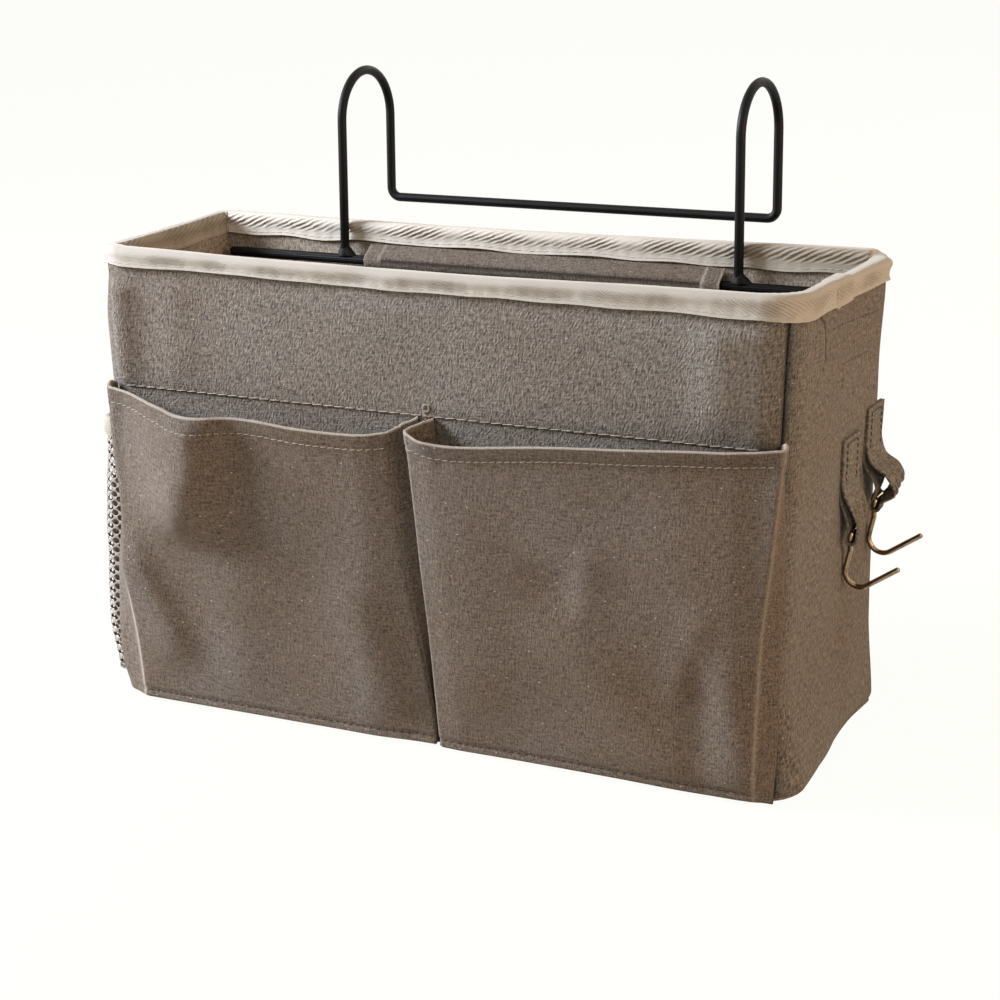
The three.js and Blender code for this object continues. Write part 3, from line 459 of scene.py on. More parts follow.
def base_face(u, v):
    """The underside, drawn out to the swollen foot of the walls and turned up a little at its edge."""
    half_x, half_y = half_width(0), half_depth(0)
    x, y = round_corners((1 - 2 * u) * half_x, (2 * v - 1) * half_y, half_x, half_y)
    past_x = np.maximum(x - half_x + FRONT_CORNER, 0)
    past_y = np.maximum(FRONT_CORNER - half_y - y, 0)
    heading = np.where(past_y > 0, np.arctan2(past_x, past_y), np.pi / 2)
    station = np.where(past_y > 0, 1 + heading / (np.pi / 2), right_station(y, 0))
    reach = foot_swell(station, 0) * step(np.hypot(past_x, past_y) / FRONT_CORNER)
    x, y = x + reach * np.sin(heading), y - reach * np.cos(heading)
    edge = np.minimum(to_edge(u) * BASE_WIDTH, to_edge(v) * BASE_DEPTH)
    shrink = 1 - 0.9 * step(1 - edge / 3) / half_x
    return np.stack([x * shrink, y * shrink, 0.9 * step(1 - edge / 2.5) ** 2], -1)


def lining_face(wall, stations, u, v):
    """The lining of a wall, which hangs a little slack between its seams."""
    z = LINING_FOOT + (CLOTH_TOP - LINING_FOOT) * v
    along = along_wall(wall, shell(stations(u), z))
    sag = np.maximum(0.35 + 0.3 * ripple(along, z, 60, 11 + WALL_SEEDS[wall]), 0.0)
    sag = sag * step(to_edge(u) * 14) * step((CLOTH_TOP - z) / 20)
    return shell(stations(u), z, -LINING_FACE - sag)


def floor_lining_face(u, v):
    half_x, half_y = half_width(4) - FLOOR_MARGIN, half_depth(4) - FLOOR_MARGIN
    x, y = round_corners((2 * u - 1) * half_x, (2 * v - 1) * half_y, half_x, half_y, FLOOR_CORNER_TRIM)
    return np.stack([x, y, LINING_FLOOR + 0.12 * (1 + ripple(x, y, 60, 4))], -1)


# Surfaces of the pockets, the left one under -1 and the right one under 1

# Folds of the pocket faces: lower end, upper end, width, height and, where it differs, the width on the right
POCKET_FOLDS = {
    -1: [
        ((-103, 86), (-101, 131), 25, 7.6, 11),
        ((-112, 82), (-107, 106), 10, 2.6, 9),
        ((-96, 92), (-94, 131), 20, 4.6, 7.5),
        ((-117, 30), (-139, 68), 14, 3.6, 7),
        ((-9, 14), (-31, 62), 12, 2.2),
        ((-62, 40), (-58, 92), 26, -1.4),
        ((-84, 18), (-92, 60), 12, 0.9),
        ((-139, 104), (-140, 120), 2.4, 0.35),
    ],
    1: [
        ((60, 70), (64, 84), 12, -1.5),
        ((75, 68), (78, 92), 4.5, 1.3, 9),
        ((122, 2), (67, 58), 15, 2.5, 12),
        ((126, 12), (124, 56), 7, -1.3),
        ((116, 44), (127, 74), 7, 1.4),
        ((147, 4), (137, 52), 9, 2.0, 8),
        ((88, 78), (92, 116), 24, -1.5),
        ((30, 20), (24, 100), 14, 0.9),
    ],
}
# Outer fold of each pocket: height and place across the front
FOLD_LINES = {
    -1: [(0, -139), (23, -140.2), (47, -142.4), (81, -147), (115, -151), (146, -150.3)],
    1: [(0, 148.5), (41, 148.6), (68, 150.2), (107, 155.4), (146, 160)],
}
# Gussets swell sideways between the fold and the seam: height and swell
GUSSET_SWELL = {
    -1: [(0, 5), (15, 8.5), (30, 8.5), (50, 6), (80, 1.5), (100, 0), (150, 0)],
    1: [(0, 0.5), (18, 3.4), (40, 5), (70, 4), (102, 3), (140, 0), (150, 0)],
}
# Mouth line: place from the left seam (0) over the folds (1 and 2) to the right seam (3), and height
POCKET_MOUTHS = {
    -1: [(0, 139.6), (1, 140), (1.09, 138.9), (1.17, 137.6), (1.24, 136.2), (1.3, 134.6), (1.36, 134.2),
         (1.42, 134.3), (1.55, 133.8), (1.69, 132.6), (1.85, 132.2), (1.95, 133), (2, 133.8), (2.1, 134.4),
         (2.3, 135.5), (2.6, 137.2), (3, 139)],
    1: [(0, 139), (0.5, 137.8), (0.9, 136.6), (0.96, 136.3), (1, 135.7), (1.03, 134.4), (1.06, 133.6),
        (1.11, 133.2), (1.22, 133.9), (1.44, 137), (1.65, 139.3), (1.8, 141), (1.95, 142.7), (2, 143.2),
        (3, 141.8)],
}
# The net swells outwards: share of its height, and swell
NET_SWELL = [(0, 2.6), (0.16, 5.6), (0.5, 5.2), (0.85, 3.4), (1, 2.2)]


def divider(z):
    """Place across the front of the pleat between the pockets, which leans to the left."""
    return DIVIDER_FOOT + (DIVIDER_MOUTH - DIVIDER_FOOT) * z / POCKET_MOUTH


def pocket_corners(side, z):
    """Plan of a pocket at each height, from left to right: seam, fold, fold, seam."""
    rise = np.clip((z - POCKET_FOOT) / POCKET_FOOT_RISE, 0, 1)
    seat = -half_depth(z) - POCKET_SEAT_GAP
    full = POCKET_FACE + seat
    depth = POCKET_FOOT_DEPTH + (full - POCKET_FOOT_DEPTH) * np.sin(rise * np.pi / 2)
    # Upwards the right pocket's pleat folds over the left pocket's, and both seams move to the right
    overlap = PLEAT_OVERLAP * step(z / PLEAT_OPEN_HEIGHT)
    seam_x = divider(z) + side * PLEAT_WIDTH / 2 + overlap * (1.4 if side < 0 else 1.0)
    lean = (PLEAT_LEAN + PLEAT_FOOT_LEAN * step(1 - z / 40)) * depth / full
    fold_x = divider(z) + side * (PLEAT_WIDTH / 2 - lean) - (overlap * 1.5 if side < 0 else 0)
    side_station = 1.5 if side > 0 else -0.5
    side_seam = shell(side_station, z, POCKET_SEAM_OFF + foot_swell(side_station, z))[..., :2]
    inner_seam = np.stack([seam_x, seat], -1)
    inner_fold = np.stack([fold_x, seat - depth], -1)
    outer_fold = np.stack([smooth_line(z, FOLD_LINES[side]), seat - depth], -1)
    line = [inner_seam, inner_fold, outer_fold, side_seam]
    return line if side > 0 else line[::-1]


def pocket_face(side, position, z, out=0.0):
    """The soft outer face of a pocket; out moves it along the plan's own normal."""
    plan, normal = rounded_plan(pocket_corners(side, z), position, POCKET_ROUNDING, 0.004)
    x = plan[:, 0]
    relief = folds(x, z, POCKET_FOLDS[side]) + 0.35 * ripple(x, z, 46, 5 + side)
    if side < 0:
        # The face falls back to the pleat and, above its middle, to the left
        relief = relief - 4.2 * step((x + 26) / 26) - 6.4 * step((-119 - x) / 29) * step((z - 55) / 45)
    else:
        # The face falls back to both sides and swells at the foot on the right
        relief = relief - 2.0 * step((14 + divider(z) - x) / 14) - 2.0 * step((x - 136) / 16)
        relief = relief + 4.5 * step((x - 40) / 100) * bell(z, 24) - 0.022 * (x - 75)
    held = 0.35 + 0.65 * step((z - POCKET_FOOT) / 14)
    relief = relief * held * bpy.context.scene.caddy_sizes.fold_depth - 0.7 * bell(z - FOOT_STITCH, 1.0)
    gusset = 1 - position if side < 0 else position - 2
    swell = smooth_line(z, GUSSET_SWELL[side]) * np.sin(np.pi * np.clip(gusset, 0, 1) ** 1.8)
    forward = np.clip(np.minimum(position, 3 - position), 0, 1)
    plan = plan + normal * np.asarray(out)[..., None]
    return np.stack([plan[:, 0] + side * swell, plan[:, 1] - relief * forward, z], -1)


def net_position(u):
    """Place along the net's plan, 0 to 3, evenly along its three sides."""
    travel = np.concatenate([[0], np.cumsum(NET_RUNS)])
    return np.interp(u * travel[-1], travel, [0, 1, 2, 3])


def net_corners(z):
    """Plan of the net pocket at each height, from the wall at the back round to the front corner."""
    radius = FRONT_CORNER + NET_WALL_GAP
    front_x = -(half_width(z) - FRONT_CORNER + radius * math.sin(NET_START))
    front_y = -(half_depth(z) - FRONT_CORNER + radius * math.cos(NET_START))
    outer = np.full_like(z, NET_PLANE_X)
    rear = half_depth(z) - NET_REAR_MARGIN
    return [
        np.stack([-half_width(z) - NET_WALL_GAP, rear + NET_SLOPE], -1),
        np.stack([outer, rear], -1),
        np.stack([outer, front_y + NET_SLOPE], -1),
        np.stack([front_x, front_y], -1),
    ]


def net_face(position, z, out=0.0):
    """The net's middle face, bulging a little between its foot and its mouth."""
    plan, normal = rounded_plan(net_corners(z), position, NET_ROUNDING, 0.01)
    height = np.clip((z - NET_FOOT) / (NET_MOUTH - NET_FOOT), 0, 1)
    bulge = smooth_line(height, NET_SWELL) + 0.5 * ripple(position * 30, z, 30, 3)
    forward = np.clip(np.minimum(position, 3 - position), 0, 1)
    plan = plan + normal * (np.asarray(out) + bulge * forward)[..., None]
    return np.concatenate([plan, z[:, None]], -1)


# Mesh making

# Faces that meet at more than these angles keep a sharp edge
CLOTH_EDGE, WIRE_EDGE = math.radians(42), math.radians(50)


def deselect_all():
    if bpy.context.object and bpy.context.object.mode != "OBJECT":
        bpy.ops.object.mode_set(mode="OBJECT")
    bpy.ops.object.select_all(action="DESELECT")


def activate(piece):
    deselect_all()
    piece.select_set(True)
    bpy.context.view_layer.objects.active = piece


def name_new(name):
    """Names the object that an operator has just added."""
    piece = bpy.context.object
    piece.name = piece.data.name = name
    return piece


def read_points(piece):
    flat = np.zeros(len(piece.data.vertices) * 3)
    piece.data.vertices.foreach_get("co", flat)
    return flat.reshape(-1, 3)


def write_points(piece, millimetres):
    piece.data.vertices.foreach_set("co", np.ascontiguousarray(millimetres * MM).ravel())
    piece.data.update()


def apply_modifier(piece, kind, **settings):
    activate(piece)
    modifier = piece.modifiers.new(kind.title(), kind)
    for name, value in settings.items():
        setattr(modifier, name, value)
    bpy.ops.object.modifier_apply(modifier=modifier.name)


def take_up(piece, material, nodes=(), body="caddy"):
    """Gives a finished piece its finish, the body it moves with and the solids it stands for."""
    piece.data.materials.clear()
    piece.data.materials.append(finish(material))
    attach(piece, body)
    if nodes:
        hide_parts(*nodes)


def cloth_grid(name, columns, rows, at, painted_light_and_tone=None):
    """A grid laid on the surface at(u, v), with u and v from 0 to 1, and its flat size; its UVs are metres
    along the cloth. Where given, painted_light_and_tone(u, v) paints highlight (to 1), or shade or a darker
    tone (to -1)."""
    deselect_all()
    bpy.ops.mesh.primitive_grid_add(x_subdivisions=columns, y_subdivisions=rows, size=1)
    piece = name_new(name)
    u, v = (read_points(piece)[:, :2] + 0.5).T
    points = at(u, v)
    write_points(piece, points)
    if painted_light_and_tone:
        layer = piece.data.attributes.new("painted_light_and_tone", "FLOAT", "POINT")
        layer.data.foreach_set("value", np.ascontiguousarray(painted_light_and_tone(u, v), dtype=np.float32))
    net = points.reshape(rows + 1, columns + 1, 3)
    across = np.linalg.norm(np.diff(net, axis=1), axis=2).mean(0)
    up = np.linalg.norm(np.diff(net, axis=0), axis=2).mean(1)
    place_u, place_v = (np.concatenate([[0], np.cumsum(lengths)]) * MM for lengths in (across, up))
    corner = np.zeros(len(piece.data.loops), dtype=np.int32)
    piece.data.loops.foreach_get("vertex_index", corner)
    uv = np.stack([place_u[corner % (columns + 1)], place_v[corner // (columns + 1)]], -1)
    piece.data.uv_layers[0].data.foreach_set("uv", uv.ravel().astype(np.float32))
    return piece, (float(place_u[-1]), float(place_v[-1]))


def sew(sheet, thickness, material, nodes, body="caddy", offset=-1.0):
    """Finishes a sheet from cloth_grid: its thickness, its finish, what it stands for and how it lies."""
    piece, cut = sheet
    apply_modifier(piece, "SOLIDIFY", thickness=thickness, offset=offset, use_quality_normals=True)
    bpy.ops.object.shade_smooth_by_angle(angle=CLOTH_EDGE)
    take_up(piece, material, nodes, body)


def folded_tape(name, columns, surface, lows, top, faces, shoulder, painted_light_and_tone):
    """Tape folded over an edge: up its outer face, over the top and down its inner face."""
    outside, inside = faces
    bend = np.linspace(0, math.pi / 2, 6)
    zones = (np.linspace(0, 1, 8, endpoint=False), bend, np.linspace(0, 1, 4)[1:-1], bend,
             np.linspace(0, 1, 9)[1:])
    rows = [(zone, share) for zone, shares in enumerate(zones) for share in shares]
    row = pick(rows)

    def at(u, v):
        zone, share = row(v).T
        low_out, low_in, lift = lows(u)
        height = top + lift
        bent = height - shoulder
        zone = zone.astype(int)
        out = np.choose(zone, [
            outside, outside - shoulder + shoulder * np.cos(share),
            outside - shoulder + (inside - outside + 2 * shoulder) * share,
            inside + shoulder - shoulder * np.sin(share), inside])
        z = np.choose(zone, [
            low_out + (bent - low_out) * share, bent + shoulder * np.sin(share), height,
            bent + shoulder * np.cos(share), bent + (low_in - bent) * share])
        return surface(u, z, out, v)

    return cloth_grid(name, columns, len(rows) - 1, at, painted_light_and_tone)


def bent_wire(name, corners, radii, diameter, sides=16, steps=10):
    """Round wire bent as by hand: a ring is extruded along each straight run and spun round each bend."""
    corners = [Vector(corner) * MM for corner in corners]
    heading = (corners[1] - corners[0]).normalized()
    deselect_all()
    bpy.ops.mesh.primitive_circle_add(vertices=sides, radius=diameter / 2, location=corners[0],
                                      rotation=heading.to_track_quat("Z", "Y").to_euler())
    piece = name_new(name)
    bpy.ops.object.transform_apply(location=True, rotation=True, scale=True)
    bpy.ops.object.mode_set(mode="EDIT")
    bpy.ops.mesh.select_mode(type="VERT")
    bpy.ops.mesh.select_all(action="SELECT")
    here = corners[0]
    for corner, after, radius in zip(corners[1:-1], corners[2:], radii):
        radius = radius * MM
        leaving = (after - corner).normalized()
        turn = heading.angle(leaving)
        setback = radius * math.tan(turn / 2)
        start = corner - heading * setback
        inward = (leaving - heading * leaving.dot(heading)).normalized()
        bpy.ops.mesh.extrude_region_move(TRANSFORM_OT_translate={"value": start - here})
        bpy.ops.mesh.spin(steps=steps, angle=turn, center=start + inward * radius, axis=inward.cross(heading))
        here = corner + leaving * setback
        heading = leaving
    bpy.ops.mesh.extrude_region_move(TRANSFORM_OT_translate={"value": corners[-1] - here})
    bpy.ops.mesh.select_all(action="SELECT")
    bpy.ops.mesh.remove_doubles(threshold=1e-6)
    bpy.ops.mesh.fill_holes(sides=sides)
    bpy.ops.mesh.normals_make_consistent(inside=False)
    bpy.ops.mesh.select_all(action="DESELECT")
    bpy.ops.object.mode_set(mode="OBJECT")
    # The cut ends are rounded over
    for polygon in piece.data.polygons:
        polygon.select = len(polygon.vertices) == sides
    bpy.ops.object.mode_set(mode="EDIT")
    bpy.ops.mesh.select_mode(type="FACE")
    bpy.ops.mesh.bevel(offset=diameter * 0.28, segments=4, affect="EDGES")
    bpy.ops.object.mode_set(mode="OBJECT")
    bpy.ops.object.shade_smooth_by_angle(angle=WIRE_EDGE)
    return piece


def sewing():
    """Pitch, length and thickness of a stitch, in millimetres."""
    sizes = bpy.context.scene.caddy_sizes
    return sizes.stitch_pitch / MM, sizes.stitch_length / MM, sizes.thread / MM


def stitches(name, lines, length, thickness, material, slot="canvas", body="caddy", lean=7.0):
    """Stitches along lines of (points, outward normal or normals, pitch), each a small grain of thread."""
    deselect_all()
    bpy.ops.mesh.primitive_uv_sphere_add(segments=6, ring_count=5, radius=0.5)
    sphere = bpy.context.object
    grain = read_points(sphere)[:, [1, 0, 2]]
    faces = [list(polygon.vertices) for polygon in sphere.data.polygons]
    bpy.data.objects.remove(sphere)
    tilt = math.radians(lean)
    points = []
    for line, normals, pitch in lines:
        travel = travelled(line)
        places = np.arange(pitch / 2, travel[-1], pitch)
        start, end, normal = (
            np.stack([np.interp(at, travel, track[:, k]) for k in range(3)], -1)
            for track, at in ((line, places - length / 2), (line, places + length / 2),
                              (np.broadcast_to(normals, line.shape), places)))
        normal = unit(normal)
        run = end - start
        run = unit(run - normal * np.sum(run * normal, axis=1, keepdims=True))
        side = np.cross(normal, run)
        run, side = run * math.cos(tilt) + side * math.sin(tilt), side * math.cos(tilt) - run * math.sin(tilt)
        axes = np.stack([normal * thickness, side * thickness, run * length], 1)
        middle = (start + end) / 2 + normal * thickness * 0.2
        points.append((grain @ axes + middle[:, None]).reshape(-1, 3))
    points = np.concatenate(points)
    firsts = range(0, len(points), len(grain))
    polygons = [[first + corner for corner in face] for first in firsts for face in faces]
    mesh = bpy.data.meshes.new(name)
    mesh.from_pydata(points * MM, [], polygons)
    mesh.update()
    piece = bpy.data.objects.new(name, mesh)
    bpy.context.scene.collection.objects.link(piece)
    activate(piece)
    bpy.ops.object.mode_set(mode="EDIT")
    bpy.ops.mesh.select_all(action="SELECT")
    bpy.ops.mesh.normals_make_consistent(inside=False)
    bpy.ops.object.mode_set(mode="OBJECT")
    bpy.ops.object.shade_smooth()
    take_up(piece, material, body=body)


# Materials


def connect(tree, node, inputs):
    """Sets a node's sockets to values, or links them to outputs; a node stands for its first output."""
    for socket, value in inputs.items():
        if isinstance(value, bpy.types.Node):
            value = next(output for output in value.outputs if output.enabled)
        if isinstance(value, bpy.types.NodeSocket):
            tree.links.new(value, node.inputs[socket])
        else:
            node.inputs[socket].default_value = value


def add_node(tree, kind, inputs=None, **settings):
    """Adds a shader node with its own settings and with its inputs set or linked."""
    node = tree.nodes.new("ShaderNode" + kind)
    for name, value in settings.items():
        setattr(node, name, value)
    connect(tree, node, inputs or {})
    return node


def start_material(name):
    material = bpy.data.materials.new(name)
    material.use_nodes = True
    tree = material.node_tree
    return material, tree, tree.nodes["Principled BSDF"]


# Canvas: length of a slub against its width, pitch of the threads, and how far apart they thicken
SLUB_ASPECT, THREAD_MM, THICKENING_MM = 2.6, 0.5, 4.0


def cotton_canvas(name, colour, warm, grain_mm, lean, depth_mm, speck_mm=11.0):
    """Cotton canvas of uneven yarn: a slubbed grain, pale lint specks, a faint mottle and no gloss."""
    material, tree, shader = start_material(name)
    cloth = add_node(tree, "UVMap", uv_map="UVMap")
    light_and_tone = add_node(tree, "Attribute", attribute_name="painted_light_and_tone").outputs["Fac"]
    # Slubs lean with the twist of the yarn: about a millimetre across, drawn coarser than the real ones
    turned = add_node(tree, "Mapping", {"Vector": cloth, "Rotation": (0, 0, math.radians(lean))})
    slub_place = add_node(tree, "Mapping", {
        "Vector": turned, "Scale": (1000 / grain_mm, 1000 / (SLUB_ASPECT * grain_mm), 1)})
    slubs = add_node(tree, "TexNoise", {"Vector": slub_place, "Scale": 0.9, "Detail": 2.0, "Roughness": 0.55})
    # Threads run both ways
    threads = []
    for across, along in ((THREAD_MM, THICKENING_MM), (THICKENING_MM, THREAD_MM)):
        place = add_node(tree, "Mapping", {"Vector": cloth, "Scale": (1000 / across, 1000 / along, 1)})
        threads.append(add_node(tree, "TexNoise", {"Vector": place, "Scale": 0.8}))
    weave = add_node(tree, "Math", {0: threads[0], 1: threads[1]}, operation="ADD")
    relief = add_node(tree, "Math", {0: weave, 1: 0.5, 2: slubs}, operation="MULTIPLY_ADD")
    tone = add_node(tree, "MapRange", {
        "Value": relief, "From Min": 0.76, "From Max": 1.24, "To Min": 0.38, "To Max": 1.62})
    # Painted shade in seams, creases and hems darkens the cloth
    painted_shade = add_node(tree, "MapRange", {
        "Value": light_and_tone, "From Min": -1.0, "From Max": 0.0, "To Min": 0.12, "To Max": 1.0})
    shade = add_node(tree, "Math", {0: tone, 1: painted_shade}, operation="MULTIPLY")
    # Mottle: areas of a hand's breadth that took the dye a little warmer
    place = add_node(tree, "TexCoord").outputs["Object"]
    mottle = add_node(tree, "TexNoise", {"Vector": place, "Scale": 14.0, "Detail": 2.0})
    mottle_mix = add_node(tree, "MapRange", {"Value": mottle, "From Min": 0.36, "From Max": 0.68})
    ground = add_node(tree, "Mix", {"Factor": mottle_mix, "A": colour, "B": warm}, data_type="RGBA")
    toned = add_node(tree, "Mix", {"Factor": 1.0, "A": ground, "B": shade},
                     data_type="RGBA", blend_type="MULTIPLY")
    # Specks: short pale ends of cotton caught in the weave
    speck_place = add_node(tree, "Mapping", {"Vector": cloth, "Scale": (1000 / speck_mm, 1800 / speck_mm, 1)})
    specks = add_node(tree, "TexVoronoi", {"Vector": speck_place, "Scale": 1.0}, voronoi_dimensions="2D")
    speck = add_node(tree, "MapRange", {
        "Value": specks, "From Min": 0.015, "From Max": 0.05, "To Min": 0.8, "To Max": 0.0})
    kept = add_node(tree, "Math", {0: specks.outputs["Color"], 1: 0.68}, operation="GREATER_THAN")
    speck_mix = add_node(tree, "Math", {0: speck, 1: kept}, operation="MULTIPLY")
    specked = add_node(tree, "Mix", {"Factor": speck_mix, "A": toned, "B": linear("#cfc8bd")},
                       data_type="RGBA")
    # Painted highlight: folded edges are mixed towards a pale colour
    rub_and_highlight = add_node(tree, "Mix", {
        "Factor": light_and_tone, "A": specked, "B": bpy.context.scene.caddy_colours.light_and_tone}, data_type="RGBA")
    raised = add_node(tree, "Math", {0: speck_mix, 1: 0.5, 2: relief}, operation="MULTIPLY_ADD")
    bump = add_node(tree, "Bump", {"Height": raised, "Strength": 0.8, "Distance": depth_mm * MM})
    connect(tree, shader, {"Base Color": rub_and_highlight, "Normal": bump, "Roughness": 0.93, "Specular IOR Level": 0.2,
                           "Sheen Weight": 0.08, "Sheen Roughness": 0.5})
    return material


# Two bands across the tape: slant of the ribs, their pitch, the band's middle, half its width and its depth
TAPE_BANDS = ((2.0, 2.4, 4.4, 3.6, 0.9), (-2.0, 4.4, 17.2, 3.8, 1.0))


def twill_tape(name, colour, inner_painted_light, shade):
    """Cotton herringbone tape folded lengthwise: fine ribs in patches outside, bold ribs inside, matte."""
    material, tree, shader = start_material(name)
    tape = add_node(tree, "UVMap", uv_map="UVMap")
    mm = add_node(tree, "Mapping", {"Vector": tape, "Scale": (1000, 1000, 1)})
    axes = add_node(tree, "SeparateXYZ", {"Vector": mm})
    across = axes.outputs["Y"]
    noise = add_node(tree, "TexNoise", {"Vector": mm, "Scale": 0.25, "Detail": 3.0})
    along = add_node(tree, "Math", {0: noise, 1: 2.4, 2: axes.outputs["X"]}, operation="MULTIPLY_ADD")
    patches = add_node(tree, "TexNoise", {"Vector": mm, "Scale": 0.045, "Detail": 2.0})
    shown = add_node(tree, "MapRange", {
        "Value": patches, "From Min": 0.4, "From Max": 0.6, "To Min": 0.15, "To Max": 1.0})
    relief = 0.0
    for slant, pitch, middle, reach, depth in TAPE_BANDS:
        lean = add_node(tree, "Math", {0: across, 1: slant, 2: along}, operation="MULTIPLY_ADD")
        turn = add_node(tree, "Math", {0: lean, 1: 2 * math.pi / pitch}, operation="MULTIPLY")
        wave = add_node(tree, "Math", {0: turn}, operation="SINE")
        off = add_node(tree, "Math", {0: across, 1: middle}, operation="SUBTRACT")
        away = add_node(tree, "Math", {0: off}, operation="ABSOLUTE")
        band = add_node(tree, "MapRange", {
            "Value": away, "From Min": reach * 0.5, "From Max": reach, "To Min": depth, "To Max": 0.0})
        weight = add_node(tree, "Math", {0: band, 1: shown}, operation="MULTIPLY")
        relief = add_node(tree, "Math", {0: wave, 1: weight, 2: relief}, operation="MULTIPLY_ADD")
    # Painted shade: the valleys between the ribs are mixed towards the darker tape colour
    valley = add_node(tree, "MapRange", {
        "Value": relief, "From Min": -0.9, "From Max": -0.05, "To Min": 0.7, "To Max": 0.0})
    soiled = add_node(tree, "MapRange", {
        "Value": patches, "From Min": 0.45, "From Max": 0.75, "To Min": 0.0, "To Max": 0.2})
    dark = add_node(tree, "Math", {0: valley, 1: soiled}, operation="MAXIMUM")
    # Painted shade darkens the rim tape round the corners; the net's tape is a little darker all over
    light_and_tone = add_node(tree, "Attribute", attribute_name="painted_light_and_tone").outputs["Fac"]
    dark = add_node(tree, "Math", {0: dark, 1: light_and_tone}, operation="SUBTRACT", use_clamp=True)
    # Painted highlight: the inner leaf is painted lighter than the outer one
    inside = add_node(tree, "MapRange", {"Value": across, "From Min": 9.0, "From Max": 13.0})
    ground = add_node(tree, "Mix", {"Factor": inside, "A": colour, "B": inner_painted_light}, data_type="RGBA")
    tint = add_node(tree, "Mix", {"Factor": dark, "A": ground, "B": shade}, data_type="RGBA")
    yarn = add_node(tree, "TexNoise", {"Vector": mm, "Scale": 1.4, "Detail": 2.0})
    height = add_node(tree, "Math", {0: yarn, 1: 0.35, 2: relief}, operation="MULTIPLY_ADD")
    bump = add_node(tree, "Bump", {"Height": height, "Strength": 0.7, "Distance": 0.4 * MM})
    connect(tree, shader, {"Base Color": tint, "Normal": bump, "Roughness": 0.9, "Specular IOR Level": 0.25,
                           "Sheen Weight": 0.1, "Sheen Roughness": 0.5})
    return material


def spun_yarn(name, colour, shade):
    """Twisted polyester yarn of net and thread: a slight lustre and fine slanting ply lines 0.8 mm apart."""
    material, tree, shader = start_material(name)
    place = add_node(tree, "TexCoord").outputs["Object"]
    plies = add_node(tree, "TexWave", {
        "Vector": place, "Scale": 1 / (0.8 * MM) / 6.3, "Distortion": 1.5, "Detail": 1.0},
        bands_direction="DIAGONAL").outputs["Fac"]
    share = add_node(tree, "MapRange", {"Value": plies, "To Min": 0.0, "To Max": 0.55})
    tint = add_node(tree, "Mix", {"Factor": share, "A": colour, "B": shade}, data_type="RGBA")
    bump = add_node(tree, "Bump", {"Height": plies, "Strength": 0.4, "Distance": 0.1 * MM})
    connect(tree, shader, {"Base Color": tint, "Normal": bump, "Roughness": 0.6, "Specular IOR Level": 0.4,
                           "Sheen Weight": 0.05})
    return material


def powder_coat(name, colour):
    """Powder-coated steel wire: satin black with a fine orange peel about half a millimetre across."""
    material, tree, shader = start_material(name)
    place = add_node(tree, "TexCoord").outputs["Object"]
    peel = add_node(tree, "TexNoise", {"Vector": place, "Scale": 1 / (0.5 * MM), "Detail": 2.0})
    rub_and_highlight = add_node(tree, "TexNoise", {"Vector": place, "Scale": 60.0, "Detail": 4.0})
    gloss = add_node(tree, "MapRange", {
        "Value": rub_and_highlight, "From Min": 0.3, "From Max": 0.7, "To Min": 0.42, "To Max": 0.6})
    tint = add_node(tree, "Mix", {"Factor": rub_and_highlight, "A": colour, "B": linear("#0d0c0b")}, data_type="RGBA")
    bump = add_node(tree, "Bump", {"Height": peel, "Strength": 0.25, "Distance": 0.08 * MM})
    connect(tree, shader, {
        "Base Color": tint, "Roughness": gloss, "Normal": bump, "Specular IOR Level": 0.14})
    return material


def plated_wire(name, colour):
    """Antique-bronze plated steel wire, drawn and tumbled: bright, with brown tarnish in patches."""
    material, tree, shader = start_material(name)
    place = add_node(tree, "TexCoord").outputs["Object"]
    tarnish = add_node(tree, "TexNoise", {"Vector": place, "Scale": 220.0, "Detail": 5.0})
    spots = add_node(tree, "MapRange", {"Value": tarnish, "From Min": 0.5, "From Max": 0.75})
    tint = add_node(tree, "Mix", {"Factor": spots, "A": colour, "B": linear("#4a3b2f")}, data_type="RGBA")
    gloss = add_node(tree, "MapRange", {
        "Value": tarnish, "From Min": 0.3, "From Max": 0.8, "To Min": 0.08, "To Max": 0.22})
    connect(tree, shader, {"Base Color": tint, "Roughness": gloss, "Metallic": 1.0})
    return material


def napped_tape(name, colour):
    """Woven fastening tape: a nap of loops or hooks 0.9 mm apart that scatters light, no gloss."""
    material, tree, shader = start_material(name)
    place = add_node(tree, "TexCoord").outputs["Object"]
    tufts = add_node(tree, "TexVoronoi", {"Vector": place, "Scale": 1 / (0.9 * MM)})
    tint = add_node(tree, "Mix", {"Factor": tufts, "A": linear("#857b71"), "B": colour}, data_type="RGBA")
    bump = add_node(tree, "Bump", {"Height": tufts, "Strength": 0.7, "Distance": 0.4 * MM}, invert=True)
    connect(tree, shader, {"Base Color": tint, "Normal": bump, "Roughness": 0.95, "Specular IOR Level": 0.15,
                           "Sheen Weight": 0.3})
    return material


def grey_board(name, colour):
    """Grey board from recycled pulp: flecked and flat."""
    material, tree, shader = start_material(name)
    place = add_node(tree, "TexCoord").outputs["Object"]
    flecks = add_node(tree, "TexNoise", {"Vector": place, "Scale": 900.0, "Detail": 6.0})
    tint = add_node(tree, "Mix", {"Factor": flecks, "A": colour, "B": linear("#7d766d")}, data_type="RGBA")
    connect(tree, shader, {"Base Color": tint, "Roughness": 0.95, "Specular IOR Level": 0.2})
    return material


FINISHES = {}


